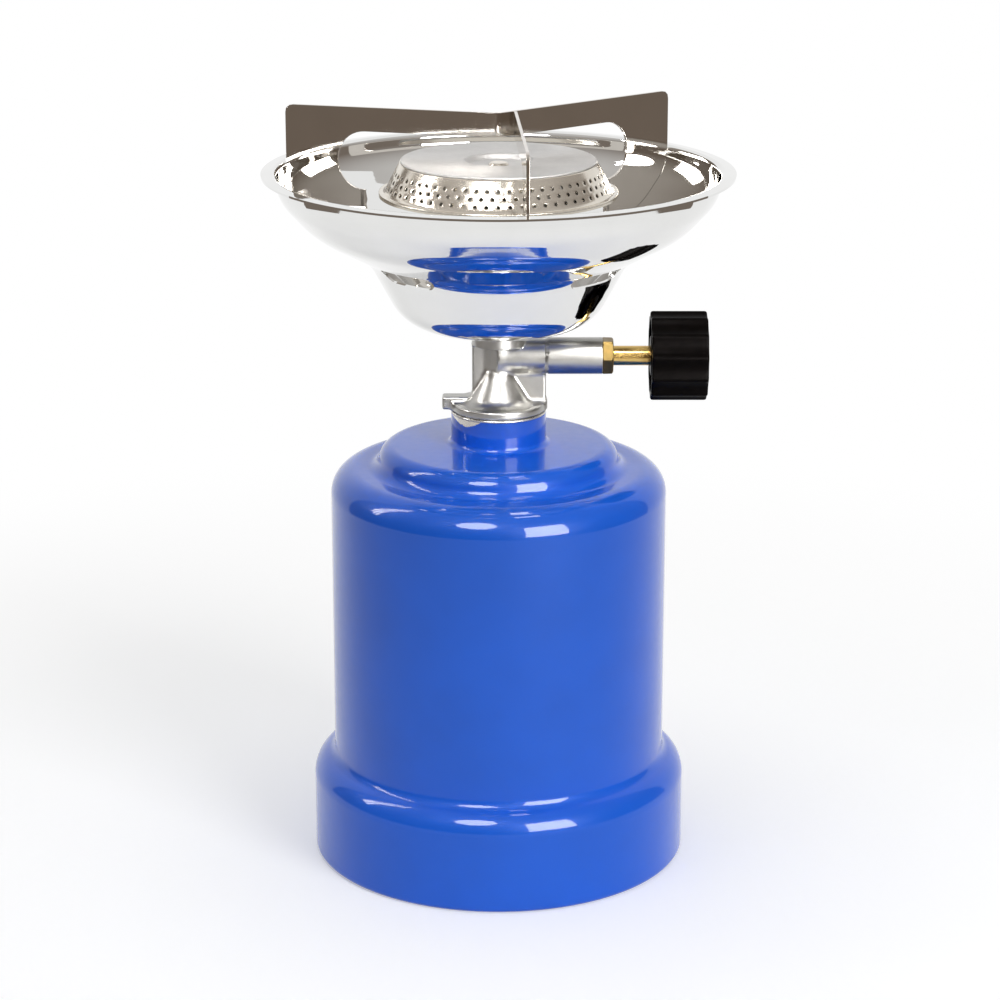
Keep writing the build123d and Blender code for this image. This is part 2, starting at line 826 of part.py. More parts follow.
# Burner cap: disc with a shallow recess for the centre rivet
recess_z = cap_z - cap_recess_depth
with BuildPart() as burner_cap:
    cap_outline = [
        (rivet_r + fit_gap, recess_z),
        (cap_recess_r, recess_z),
        (cap_recess_r + cap_recess_lean, cap_z),
        (ring_top_r, cap_z),
    ]
    corners, rounds = sheet(cap_outline, [cap_wall, cap_wall], cap_wall)
    with BuildSketch(Plane.XZ):
        with BuildLine():
            FilletPolyline(*corners, radius=rounds, close=True)
        make_face()
    revolve(axis=Axis.Z)
burner_cap.part.label = "burner_cap"
export_step(burner_cap.part, "parts/burner_cap.step")

# Gas baffle: small disc under the cap that spreads the mixture
baffle_z = recess_z - baffle_drop
with BuildPart() as gas_baffle:
    with BuildSketch(Plane.XY.offset(baffle_z)):
        Circle(baffle_r)
        Circle(rivet_r + fit_gap, mode=Mode.SUBTRACT)
    extrude(amount=-baffle_t)
gas_baffle.part.label = "gas_baffle"
export_step(gas_baffle.part, "parts/gas_baffle.step")

# Cap rivet: shouldered rivet that holds cap and baffle apart and together
shoulder_r = (rivet_r + rivet_head_r) / 2
rivet_top = recess_z + cap_wall + face_gap
with BuildPart() as cap_rivet:
    with BuildSketch(Plane.XZ):
        with BuildLine():
            Polyline(
                (0, baffle_z - baffle_t - face_gap - rivet_head_h),
                (shoulder_r, baffle_z - baffle_t - face_gap - rivet_head_h),
                (shoulder_r, baffle_z - baffle_t - face_gap),
                (rivet_r, baffle_z - baffle_t - face_gap),
                (rivet_r, baffle_z + face_gap),
                (shoulder_r, baffle_z + face_gap),
                (shoulder_r, recess_z - face_gap),
                (rivet_r, recess_z - face_gap),
                (rivet_r, rivet_top),
                (rivet_head_r, rivet_top),
                (shoulder_r, rivet_top + rivet_head_h),
                (0, rivet_top + rivet_head_h),
                close=True,
            )
        make_face()
    revolve(axis=Axis.Z)
cap_rivet.part.label = "cap_rivet"
export_step(cap_rivet.part, "parts/cap_rivet.step")

# Side outline shared by the three blades: top strip, slot, leg and foot on the bowl
floor_points = parallel(bowl_outline, bowl_wall + weld_gap)
floor_radii = parallel_radii(bowl_outline, fitted(bowl_outline, bowl_rounds), bowl_wall + weld_gap)
shoulder, dish_low, dish_high, rim = floor_points[2:6]
foot_share = (foot_r - shoulder[0]) / (dish_low[0] - shoulder[0])
foot_z = shoulder[1] + (dish_low[1] - shoulder[1]) * foot_share
blade_points = [
    (0, strip_z),
    (slot_end_r, strip_z),
    (slot_end_r, slot_z),
    (foot_r, slot_z),
    (foot_r, foot_z),
    dish_low,
    dish_high,
    rim,
    (rim[0], pan_z),
    (0, pan_z),
]
blade_radii = fitted(
    [blade_points[-1], *blade_points, blade_points[0]],
    [0, slot_round, slot_round, 0, 0, floor_radii[2], floor_radii[3], 0, blade_corner_r, 0],
)
reach = bowl_rim_r + bowl_lip_w
first, second = math.radians(blade_azimuth), math.radians(blade_azimuth + blade_spread)
bend_line = [
    (reach * math.cos(first), reach * math.sin(first)),
    (0, 0),
    (reach * math.cos(second), reach * math.sin(second)),
]

# Bent pan support: two blades folded from one strip
with BuildPart() as pan_support_bent:
    corners, rounds = sheet(parallel(bend_line, -blade_t / 2), [blade_bend_r], blade_t)
    with BuildSketch(Plane.XY.offset(bowl_z)):
        with BuildLine():
            FilletPolyline(*corners, radius=rounds, close=True)
        make_face()
    extrude(amount=pan_z - bowl_z + overrun)
    with BuildSketch(Plane.XZ):
        with BuildLine():
            FilletPolyline(*blade_points, radius=blade_radii, close=True)
        make_face()
    revolve(axis=Axis.Z, mode=Mode.INTERSECT)
pan_support_bent.part.label = "pan_support_bent"
export_step(pan_support_bent.part, "parts/pan_support_bent.step")

# Front pan support: single blade that butts against the front face of the right-hand blade
front_turn = math.radians(blade_azimuth - front_azimuth)
front_near = front_offset - blade_t / 2
front_start = (blade_t / 2 + weld_gap + front_near * math.cos(front_turn)) / math.sin(front_turn)
with BuildPart() as pan_support_front:
    with BuildSketch(Plane.XY.offset(bowl_z)):
        with Locations(Location((0, 0, 0), (0, 0, front_azimuth))):
            with Locations(((front_start + reach) / 2, front_offset)):
                Rectangle(reach - front_start, blade_t)
    extrude(amount=pan_z - bowl_z + overrun)
    with BuildSketch(Plane.XZ):
        with BuildLine():
            FilletPolyline(*blade_points, radius=blade_radii, close=True)
        make_face()
    revolve(axis=Axis.Z, mode=Mode.INTERSECT)
pan_support_front.part.label = "pan_support_front"
export_step(pan_support_front.part, "parts/pan_support_front.step")
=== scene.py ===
"""Portable gas stove: visible surfaces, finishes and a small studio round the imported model.

Every surface is worked out in metres in the model's own frame: origin at the centre of the base on the
floor, +Z up, +X along the valve arm towards the knob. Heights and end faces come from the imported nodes.
"""

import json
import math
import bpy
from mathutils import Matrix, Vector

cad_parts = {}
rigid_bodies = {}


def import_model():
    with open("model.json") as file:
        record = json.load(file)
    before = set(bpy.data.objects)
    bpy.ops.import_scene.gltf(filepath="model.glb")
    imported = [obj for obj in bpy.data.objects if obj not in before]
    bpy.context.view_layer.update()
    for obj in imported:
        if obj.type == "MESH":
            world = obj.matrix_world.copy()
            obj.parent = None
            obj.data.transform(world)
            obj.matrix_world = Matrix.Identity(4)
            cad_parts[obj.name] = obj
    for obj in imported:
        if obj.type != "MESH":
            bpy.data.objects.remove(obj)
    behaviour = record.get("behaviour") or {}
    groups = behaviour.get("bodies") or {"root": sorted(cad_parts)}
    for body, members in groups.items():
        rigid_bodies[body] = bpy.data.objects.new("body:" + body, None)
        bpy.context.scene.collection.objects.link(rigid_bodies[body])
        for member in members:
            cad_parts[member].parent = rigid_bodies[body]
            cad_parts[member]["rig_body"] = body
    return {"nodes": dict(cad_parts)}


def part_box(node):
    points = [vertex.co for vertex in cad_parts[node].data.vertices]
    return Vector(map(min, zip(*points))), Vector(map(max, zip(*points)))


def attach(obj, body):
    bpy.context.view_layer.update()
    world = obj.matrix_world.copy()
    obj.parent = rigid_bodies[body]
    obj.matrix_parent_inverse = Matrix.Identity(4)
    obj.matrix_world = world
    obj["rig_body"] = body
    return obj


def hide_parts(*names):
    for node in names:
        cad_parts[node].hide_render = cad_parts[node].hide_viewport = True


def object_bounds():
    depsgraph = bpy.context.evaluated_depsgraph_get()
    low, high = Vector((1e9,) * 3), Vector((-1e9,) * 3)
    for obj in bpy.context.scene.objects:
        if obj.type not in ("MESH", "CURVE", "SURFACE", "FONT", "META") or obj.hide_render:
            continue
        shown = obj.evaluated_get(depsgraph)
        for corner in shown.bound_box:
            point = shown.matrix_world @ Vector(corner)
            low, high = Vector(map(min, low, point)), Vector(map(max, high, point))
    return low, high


bl_info = {
    "name": "Portable gas stove",
    "version": (1, 0, 0),
    "blender": (4, 5, 0),
    "location": "3D View > Sidebar > Stove",
    "description": "Builds the visible pieces of a cartridge gas stove on its packed model",
    "category": "Add Mesh",
}

import bmesh
import bpy
import numpy as np

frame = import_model()
cad_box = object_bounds()
MM = 0.001
X, Y, Z = range(3)


# Properties

def length(text, millimetres):
    """A length that a user may change, given in millimetres and kept in metres."""
    return bpy.props.FloatProperty(
        name=text, description=f"{text}, in metres", default=millimetres * MM, unit="LENGTH", precision=5
    )


def place(text, node, axis, side):
    """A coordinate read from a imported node's box: side 0 is its lowest corner, side 1 its highest."""
    return bpy.props.FloatProperty(
        name=text, description=f"{text}, read from the packed {node}", default=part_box(node)[side][axis],
        unit="LENGTH", precision=5,
    )


def count(text, number):
    """A whole number of repeated features or of steps."""
    return bpy.props.IntProperty(name=text, description=f"{text}, a whole number", default=number, min=1)


def angle(text, degrees):
    """An angle, given in degrees."""
    return bpy.props.FloatProperty(
        name=text, description=f"{text}, as an angle", default=math.radians(degrees), unit="ROTATION"
    )


def level(text, value):
    """A plain number, such as a strength."""
    return bpy.props.FloatProperty(name=text, description=f"{text}, a number", default=value, precision=4)


def colour(text, *rgb):
    """A linear colour."""
    return bpy.props.FloatVectorProperty(
        name=text, description=f"{text}, as a linear colour", default=rgb, size=3, subtype="COLOR",
        min=0.0, max=1.0,
    )


class CasingSizes(bpy.types.PropertyGroup):
    """Painted shell with its skirt, stepped dome and neck."""

    wall: length("Thickness of the drawn sheet", 0.7)
    skirt_r: place("Radius of the skirt", "casing", X, 1)
    hem_w: length("Width of the skirt's turned-in foot", 2.6)
    hem_r: length("Round under the skirt", 1.6)
    skirt_h: length("Height of the skirt's shoulder", 27.1)
    skirt_rise: length("Climb from the shoulder to the cylinder", 2.8)
    skirt_round: length("Round of the skirt's shoulder", 7.0)
    skirt_root: length("Round where the cylinder leaves the skirt", 3.2)
    shell_r: length("Radius of the cylinder", 48.0)
    crown_z: length("Height of the dome's first step", 115.37)
    crown_round: length("Round of the first step", 7.4)
    step_root: length("Round at the foot of the upper step", 3.6)
    tier_r: length("Radius of the upper step at its top", 33.5)
    tier_draft: length("Extra radius at the upper step's foot", 1.1)
    tier_z: length("Height of the upper step", 121.85)
    tier_round: length("Round of the upper step", 4.6)
    neck_root_z: length("Height where the neck begins", 122.45)
    neck_root: length("Round where the neck begins", 1.6)
    neck_r: place("Radius of the neck", "neck_bush", X, 1)
    neck_top: place("Top of the neck", "casing", Z, 1)
    bush_bore_r: length("Radius of the threaded bore", 11.05)
    bush_z: place("Lower end of the bush", "neck_bush", Z, 0)
    bush_top: place("Top of the bush", "neck_bush", Z, 1)
    rim_round: length("Round of the bare rim", 0.2)
    segments: count("Steps round the axis", 168)


class HeadSizes(bpy.types.PropertyGroup):
    """Cast valve body, from the threaded stub to the seat of the bowl."""

    nose_z: place("Lower end of the nose", "valve_body", Z, 0)
    flange_z: place("Underside of the flange", "neck_bush", Z, 1)
    nose_r: length("Radius of the plain nose", 9.6)
    stub_r: length("Crest radius of the thread", 11.0)
    thread_len: length("Length of the thread", 12.0)
    thread_pitch: length("Rise of the thread in one turn", 1.5)
    thread_depth: length("Depth of the thread", 0.8)
    flange_r: length("Radius of the flange", 13.3)
    flange_t: length("Thickness of the flange", 2.4)
    cone_r: length("Radius at the foot of the cone", 9.8)
    cone_h: length("Height of the cone", 8.6)
    tube_r: length("Radius of the upright tube", 4.0)
    arm_root_r: length("Radius of the arm beside the tube", 4.8)
    arm_root_len: length("Reach of the arm's thinner part", 13.4)
    arm_r: length("Radius of the arm's outer part", 5.2)
    arm_len: length("Reach of the arm from the axis", 29.4)
    web_t: length("Thickness of the flat web", 4.0)
    web_left: length("Reach of the web away from the arm", 7.5)
    collar_r: length("Radius of the seat under the bowl", 7.6)
    collar_t: length("Thickness of the seat", 5.5)
    spigot_r: length("Radius of the spigot in the bowl", 5.0)
    spigot_top: place("Top of the spigot", "valve_body", Z, 1)
    lug_reach: length("Reach of the stop lug", 16.0)
    lug_w: length("Width of the stop lug", 5.0)
    lug_h: length("Height of the stop lug", 3.7)
    lug_lift: length("Height of the lug above the flange's underside", 0.4)
    bore_r: length("Radius of the bore in the arm", 2.9)
    gland_r: length("Radius of the bore for the nut's boss", 4.25)
    gland_depth: length("Depth of the bore for the nut's boss", 6.3)
    groove_r: length("Radius of the fine groove round the arm", 0.28)
    fillet: length("Reach of the blend where cast forms meet", 1.5)
    edge: length("Reach of the rounding along cast edges", 0.7)
    net_step: length("Spacing of the grid that finds the casting's surface", 0.36)


class ValveSizes(bpy.types.PropertyGroup):
    """Brass gland nut and spindle, and the fluted knob."""

    nut_x: length("Where the nut meets the arm", 29.42)
    nut_end: place("End of the nut", "gland_nut", X, 1)
    nut_r: length("Radius over the nut's corners", 5.4)
    nut_chamfer: length("Chamfer of the nut's corners", 0.7)
    nut_round: length("Round of the nut's faces", 0.25)
    boss_r: length("Radius of the nut's boss", 4.17)
    boss_x: place("End of the boss", "gland_nut", X, 0)
    bore_r: length("Radius of the nut's bore", 2.85)
    spindle_r: length("Radius of the spindle", 2.8)
    stem_r: length("Radius of the stem in the valve chamber", 1.6)
    stem_x: place("End of the stem", "valve_spindle", X, 0)
    rod_x: length("Where the thick rod begins", 11.3)
    rod_end: place("End of the rod", "valve_spindle", X, 1)
    knob_x: place("Start of the knob", "knob", X, 0)
    knob_end: place("End of the knob", "knob", X, 1)
    knob_r: length("Radius over the knob's ridges", 12.6)
    flutes: count("Scallops round the knob", 12)
    flute_land: length("Width of the ridge between two scallops", 0.9)
    flute_depth: length("Depth of a scallop", 0.8)
    flute_phase: angle("Direction of the first scallop", 5.0)
    flute_fade: length("Depth at which the scallops have died out", 2.0)
    knob_round: length("Round of the knob's edges", 0.7)
    knob_skin: length("Thickness of the knob's side", 2.2)
    knob_front_t: length("Thickness of the knob's front", 5.5)
    hub_r: length("Radius of the hub inside the knob", 5.6)
    grip_len: length("Depth of the bore that grips the spindle", 11.0)
    well_r: length("Radius of the well for the screw", 4.0)
    well_depth: length("Depth of the well", 2.4)
    screw_r: length("Radius of the screw's head", 3.2)
    screw_t: length("Height of the screw's head", 1.9)
    slot_w: length("Width of the screw's cross recess", 0.8)
    slot_len: length("Length of the screw's cross recess", 3.8)
    slot_depth: length("Depth of the screw's cross recess", 1.1)
    screw_step: length("Spacing of the grid that finds the screw's surface", 0.13)


class BowlSizes(bpy.types.PropertyGroup):
    """Two-step pressed bowl with its lip and four oval air slots."""

    wall: length("Thickness of the sheet", 0.6)
    bore_r: length("Radius of the hole for the spigot", 5.03)
    bottom_z: place("Bottom of the bowl", "bowl", Z, 0)
    top_z: place("Top of the lip", "bowl", Z, 1)
    outer_r: place("Radius of the lip", "bowl", X, 1)
    lip_inset: length("How far the finished lip stays inside the packed one", 0.09)
    lip_w: length("Width of the lip", 3.7)
    lip_drop: length("How much lower the lip's outer edge lies", 0.32)
    cup_round: length("Round at the bottom of the cup", 14.0)
    shoulder_round: length("Round where the cup meets the dish", 12.0)
    dish_low_round: length("Round of the dish near the cup", 27.5)
    dish_high_round: length("Round of the dish near the lip", 12.0)
    lip_root: length("Round under the lip", 1.0)
    slots: count("Oval slots round the shoulder", 4)
    slot_len: length("Length of a slot", 19.0)
    slot_w: length("Width of a slot", 5.6)
    slot_azimuth: angle("Direction of the first slot", -43.0)
    window_margin: length("Sheet round a slot that is laid out to follow it", 2.6)
    window_rings: count("Rings of faces round a slot", 5)


class BurnerSizes(bpy.types.PropertyGroup):
    """Funnel, pierced flame ring, cap and rivet."""

    wall: length("Thickness of funnel and cap", 0.6)
    tube_top: place("Top of the mixing tube", "mixing_tube", Z, 1)
    funnel_z: place("Lower end of the funnel", "burner_base", Z, 0)
    throat_r: length("Inner radius of the funnel's throat", 6.26)
    flange_r: place("Radius of the flange", "burner_ring", X, 1)
    flange_w: length("Width of the flange outside the ring", 1.8)
    ring_wall: length("Thickness of the pierced ring", 0.5)
    ring_z: place("Foot of the ring", "burner_ring", Z, 0)
    ring_h: length("Height of the pierced ring", 8.2)
    ring_top_r: length("Radius at the ring's top", 27.3)
    ledge_w: length("Width of the ledge under the cap", 2.4)
    holes: count("Flame holes in one row", 60)
    rows: count("Rows of flame holes", 3)
    hole_r: length("Radius of a flame hole", 0.55)
    cap_top: place("Top of the cap", "burner_cap", Z, 1)
    recess_r: length("Radius of the cap's recess", 8.6)
    recess_lean: length("Extra radius at the recess's top", 0.9)
    recess_depth: length("Depth of the recess", 1.6)
    rivet_r: length("Radius of the rivet's shank", 1.5)
    rivet_head_r: length("Radius of the rivet's head", 3.0)
    rivet_low: place("Lower end of the rivet", "cap_rivet", Z, 0)
    rivet_top: place("Top of the rivet", "cap_rivet", Z, 1)
    edge: length("Round of the sheets' edges", 0.25)


class SupportSizes(bpy.types.PropertyGroup):
    """Sheet steel blades that carry the pan."""

    blade_t: length("Thickness of a blade", 0.9)
    edge: length("Bevel along a blade's edges", 0.12)
    top_z: place("Height of the pan", "pan_support_bent", Z, 1)
    azimuth: angle("Direction of the first blade", 38.0)
    spread: angle("Angle between the two folded blades", 128.0)
    front_azimuth: angle("Direction of the single blade", -87.4)
    front_offset: length("Distance of the single blade's plane from the axis", 4.84)
    bend_r: length("Radius of the fold at the middle of the sheet", 4.45)
    front_start: length("Where the single blade meets the folded one", -2.5)
    strip_h: length("Height of the strip over the burner", 6.8)
    slot_h: length("Height of the cut-out", 16.5)
    slot_end_r: length("Reach of the cut-out", 46.5)
    slot_round: length("Round at the end of the cut-out", 8.08)
    foot_r: length("Where the foot's run ends", 40.0)
    corner_r: length("Round of the blade's top corner", 2.0)
    weld_gap: length("Gap between blade and bowl", 0.05)


class FinishColours(bpy.types.PropertyGroup):
    """Linear base colours of the finishes."""

    paint: colour("Blue stove enamel", 0.004, 0.108, 0.66)
    bare_steel: colour("Steel where no paint is", 0.66, 0.64, 0.60)
    mirror: colour("Polished steel of the bowl", 0.77, 0.77, 0.76)
    blade: colour("Bright rolled sheet of the blades", 0.66, 0.62, 0.57)
    nickel: colour("Satin plating of the burner", 0.72, 0.67, 0.59)
    cap: colour("Matt plating of the burner's cap", 0.57, 0.56, 0.55)
    zinc: colour("Tumbled die casting", 0.42, 0.412, 0.392)
    brass: colour("Turned brass", 0.63, 0.43, 0.145)
    # Dark end of the brass: random patina, and painted shade on the spindle beside the knob
    dark_brass_patina_and_shade: colour("Darkened brass", 0.30, 0.17, 0.05)
    plastic: colour("Black moulding of the knob", 0.0030, 0.0022, 0.0020)
    rubber: colour("Rubber of the seals", 0.025, 0.025, 0.026)
    tin: colour("Tinplate of the cartridge", 0.72, 0.73, 0.75)


class StudioSizes(bpy.types.PropertyGroup):
    """Camera, lamps and the cards that polished metal mirrors."""

    camera_x: length("Camera's X", 0.4)
    camera_y: length("Camera's Y", -842.2)
    camera_z: length("Camera's Z", 362.8)
    camera_pitch: angle("How far the camera looks down", 17.03)
    lens: level("Focal length in millimetres on a 36 mm sensor", 110.4)
    floor_half: length("Half the side of the floor", 4000.0)
    floor_drop: length("Gap under the foot", 0.05)
    floor_white: level("Reflectance of the floor", 0.76)
    floor_lift: level("Part of the floor's white that doesn't depend on light", 0.33)
    floor_near: length("Distance at which the floor begins to pass into plain white", 150.0)
    floor_far: length("Distance at which the floor is plain white", 420.0)
    ambient: level("Strength of the white surroundings on matt surfaces", 0.46)
    key: level("Power of the lamp at the right front", 14.0)
    top: level("Power of the lamp overhead", 5.0)
    fill: level("Power of the lamp at the left front", 1.6)
    room_r: length("Distance of the dark surroundings", 620.0)
    table_r: length("Distance at which the dark surroundings begin on the floor", 500.0)
    room_half: angle("How far round from the camera the dark surroundings reach", 116.0)
    room_dark: colour("Dark surroundings near the floor", 0.20, 0.165, 0.138)
    room_high: colour("Surroundings overhead", 0.62, 0.60, 0.58)
    lamp_distance: length("Distance of the mirrored lamps", 460.0)


class StoveSettings(bpy.types.PropertyGroup):
    """All groups of sizes and colours."""

    casing: bpy.props.PointerProperty(type=CasingSizes)
    head: bpy.props.PointerProperty(type=HeadSizes)
    valve: bpy.props.PointerProperty(type=ValveSizes)
    bowl: bpy.props.PointerProperty(type=BowlSizes)
    burner: bpy.props.PointerProperty(type=BurnerSizes)
    support: bpy.props.PointerProperty(type=SupportSizes)
    colours: bpy.props.PointerProperty(type=FinishColours)
    studio: bpy.props.PointerProperty(type=StudioSizes)


# Outlines

SUPPORT_GAP = 0.15 * MM
RUN_SHARE = 0.98


def rounded(corners, steps=8, closed=False):
    """Outline through corners of radius, height and round, with an arc in place of each corner.

    An arc of radius r in a corner that turns by t begins r tan(t / 2) before the corner, and its points
    turn evenly about its centre. Where the arcs at a run's ends need more than its length, both are held
    back alike. Each straight run has a point close to either end, so that smooth shading keeps flats flat.
    """
    corners = np.array(corners, float)
    corners, radii = corners[:, :2], corners[:, 2]
    into = corners - np.roll(corners, 1, axis=0)
    run = np.hypot(*into.T)
    into /= run[:, None]
    out = np.roll(into, -1, axis=0)
    turn = np.arctan2(into[:, 0] * out[:, 1] - into[:, 1] * out[:, 0], np.sum(into * out, axis=1))
    bend = np.tan(np.abs(turn) / 2)
    if not closed:
        radii[[0, -1]] = 0
    need = radii * bend
    held = np.minimum(1, RUN_SHARE * run / np.maximum(need + np.roll(need, 1), 1e-9))
    radii *= np.minimum(held, np.roll(held, -1))
    arcs = []
    for i, here in enumerate(corners):
        if not closed and i in (0, len(corners) - 1):
            arcs.append(here[None])
            continue
        start = here - into[i] * radii[i] * bend[i]
        to_centre = np.array([-into[i, 1], into[i, 0]]) * math.copysign(radii[i], turn[i])
        turns = np.linspace(0, turn[i], steps + 1)
        spin = np.array([[np.cos(turns), -np.sin(turns)], [np.sin(turns), np.cos(turns)]])
        arcs.append(start + to_centre + np.einsum("ijk,j->ki", spin, -to_centre))
    pieces = []
    for i, arc in enumerate(arcs):
        pieces.append(arc)
        if not closed and i == len(arcs) - 1:
            break
        run = arcs[(i + 1) % len(arcs)][0] - arc[-1]
        size = np.hypot(*run)
        if size > SUPPORT_GAP * 3:
            step = run * SUPPORT_GAP / size
            pieces.append(np.array([arc[-1] + step, arc[-1] + run - step]))
    return np.concatenate(pieces)


def parallel(points, distance):
    """Outline at a distance to the left of another: each point moves along the mean of its two normals."""
    runs = np.diff(points, axis=0)
    runs /= np.linalg.norm(runs, axis=1, keepdims=True)
    mean = np.concatenate([runs[:1], runs[:-1] + runs[1:], runs[-1:]])
    mean /= np.linalg.norm(mean, axis=1, keepdims=True)
    lean = np.sum(mean * np.concatenate([runs[:1], runs]), axis=1, keepdims=True)
    return points + distance * np.stack([-mean[:, 1], mean[:, 0]], -1) / lean


def sheet_loop(points, wall):
    """Closed section of a bent sheet: an outline and its parallel one wall to the left, run backwards."""
    return np.concatenate([points, parallel(points, wall)[::-1]])


def walked(points):
    """Distance along a line at each of its points."""
    return np.concatenate([[0], np.cumsum(np.hypot(*np.diff(points, axis=0).T))])


def evenly(points, number):
    """A line's points spaced evenly along it."""
    walk = walked(points)
    wanted = np.linspace(0, walk[-1], number)
    return np.stack([np.interp(wanted, walk, values) for values in points.T], -1)


# Surfaces

def full_turn(segments):
    """Angles of even steps once round the axis."""
    return np.arange(segments) * math.tau / segments


def about_axis(radius, turns, height):
    """Points at a radius, an angle about +Z and a height: x = r cos a, y = r sin a, z = h."""
    return np.stack(np.broadcast_arrays(radius * np.cos(turns), radius * np.sin(turns), height), -1)


def surface(grid, wrap_rows=False, wrap_columns=True):
    """A grid's points, counted row by row, and the corner numbers of its cells."""
    rows, columns = grid.shape[:2]
    index = np.arange(rows * columns).reshape(rows, columns)
    if wrap_columns:
        index = np.concatenate([index, index[:, :1]], axis=1)
    if wrap_rows:
        index = np.concatenate([index, index[:1]])
    cells = np.stack([index[:-1, :-1], index[:-1, 1:], index[1:, 1:], index[1:, :-1]], -1)
    return grid.reshape(-1, 3), cells.reshape(-1, 4)


def lathe(profile, segments):
    """Grid of a profile of radius and height carried round +Z."""
    return about_axis(profile[:, :1], full_turn(segments), profile[:, 1:])


def turned(profile, segments, closed=True):
    """Lathe surface; a profile that isn't closed ends on the axis or at an edge."""
    return surface(lathe(profile, segments), wrap_rows=closed)


def along_arm(shell, arm_z):
    """Lays a shell that stands on +Z along +X at the arm's height, with x, y, z in place of z, x, y."""
    points, faces = shell
    return points[:, [Z, X, Y]] + np.array([0, 0, arm_z]), faces


def joined(*shells):
    """Several shells as one."""
    starts = np.cumsum([0] + [len(points) for points, _ in shells[:-1]])
    faces = [faces + start for (_, faces), start in zip(shells, starts)]
    return np.concatenate([points for points, _ in shells]), np.concatenate(faces)


def blend(first, second, reach):
    """Smooth union of two distances: the smaller one, rounded off where they differ by less than reach."""
    mix = np.clip(0.5 + (second - first) / (2 * reach), 0, 1)
    return second * (1 - mix) + first * mix - reach * mix * (1 - mix)


def carve(first, second, reach):
    """Smooth intersection of two distances: the larger one, rounded off along the edge."""
    return -blend(-first, -second, reach)


def frustum(radius, height, low, high, low_r, high_r):
    """Signed distance to a turned solid between two heights whose radius runs from low_r to high_r."""
    half = (high - low) / 2
    level_height = height - (high + low) / 2
    flat = radius - np.minimum(radius, np.where(level_height < 0, low_r, high_r))
    above = np.abs(level_height) - half
    lean = high_r - low_r
    share = ((high_r - radius) * lean + (half - level_height) * 2 * half) / (lean**2 + 4 * half**2)
    share = np.clip(share, 0, 1)
    side = radius - high_r + lean * share
    rise = level_height - half + 2 * half * share
    inside = np.where((side < 0) & (above < 0), -1.0, 1.0)
    return inside * np.sqrt(np.minimum(flat**2 + above**2, side**2 + rise**2))


def cylinder(radius, height, low, high, side_r):
    """Signed distance to a turned solid with an upright side."""
    return frustum(radius, height, low, high, side_r, side_r)


def field_slope(field, points, step):
    """Slope of a field at points, from the values half a step to either side along each axis."""
    return np.stack([
        (field(*(points + step / 2 * unit).T) - field(*(points - step / 2 * unit).T)) / step
        for unit in np.eye(3)
    ], -1)


# Steps that move a net's points on to the surface, share of a grid step for the slope, least square of it
NET_PASSES = 3
SLOPE_SHARE = 0.1
LEAST_SLOPE = 0.2


def surface_net(field, low, high, step):
    """Points and faces of the surface where a field is zero, inside a box.

    The field is sampled on a grid. Each cell that the surface crosses gets one point, the mean of the
    crossings on its edges, and each crossed grid edge gets a quad between the four cells round it. The
    points are then moved on to the zero along the field's slope.
    """
    axes = [np.arange(a, b + step, step) for a, b in zip(low, high)]
    values = field(*np.meshgrid(*axes, indexing="ij"))
    inside = values < 0
    cells = np.array(values.shape) - 1
    total, crossings = np.zeros((*cells, 3)), np.zeros(cells)
    for axis in range(3):
        along = np.eye(3, dtype=int)[axis]
        for corner in np.ndindex(2, 2):
            offset = np.insert(np.array(corner), axis, 0)
            first, second = (
                tuple(slice(o, o + n) for o, n in zip(start, cells)) for start in (offset, offset + along)
            )
            crossed = inside[first] != inside[second]
            fall = np.where(crossed, values[first] - values[second], 1)
            share = np.where(crossed, values[first] / fall, 0)
            total += (offset + share[..., None] * along) * crossed[..., None]
            crossings += crossed
    active = crossings > 0
    number = np.full(cells, -1)
    number[active] = np.arange(active.sum())
    points = (np.argwhere(active) + total[active] / crossings[active][:, None]) * step + np.array(low)
    faces = []
    for axis in range(3):
        held = np.moveaxis(inside, axis, 0)[:, 1:-1, 1:-1]
        cell = np.moveaxis(number, axis, 0)
        ring = [cell[:, :-1, :-1], cell[:, 1:, :-1], cell[:, 1:, 1:], cell[:, :-1, 1:]]
        crossed = held[:-1] != held[1:]
        quad = np.stack([corner[crossed] for corner in ring], -1)
        outward = held[:-1][crossed] != (axis == 1)
        faces.append(np.where(outward[:, None], quad, quad[:, ::-1]))
    for _ in range(NET_PASSES):
        slope = field_slope(field, points, step * SLOPE_SHARE)
        move = field(*points.T) / np.maximum(np.sum(slope**2, axis=1), LEAST_SLOPE)
        points = points - np.clip(move, -step, step)[:, None] * slope
    return points, np.concatenate(faces)


# Pieces

MERGE_GAP = 0.002 * MM
FLAT_ANGLE = math.radians(0.5)
BEVEL_ANGLE = math.radians(40.0)


def mesh_of(name, shell):
    """A mesh of a shell's points and faces."""
    points, faces = shell
    mesh = bpy.data.meshes.new(name)
    mesh.from_pydata(np.asarray(points).tolist(), [], np.asarray(faces).tolist())
    return mesh


def cleaned(mesh, packed):
    """Merges a mesh's doubles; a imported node's flat faces are joined, other faces are turned outwards."""
    clean = bmesh.new()
    clean.from_mesh(mesh)
    bmesh.ops.remove_doubles(clean, verts=clean.verts, dist=MERGE_GAP)
    if packed:
        bmesh.ops.dissolve_limit(clean, angle_limit=FLAT_ANGLE, verts=clean.verts, edges=clean.edges)
    else:
        bmesh.ops.recalc_face_normals(clean, faces=clean.faces)
    clean.to_mesh(mesh)
    clean.free()
    return mesh


def add_piece(name, shell, material, body, node, sharp=35.0):
    """Makes a piece of points and faces, smooth up to an angle, that rides on a body."""
    return dress(name, cleaned(mesh_of(name, shell), False), material, body, node, sharp)


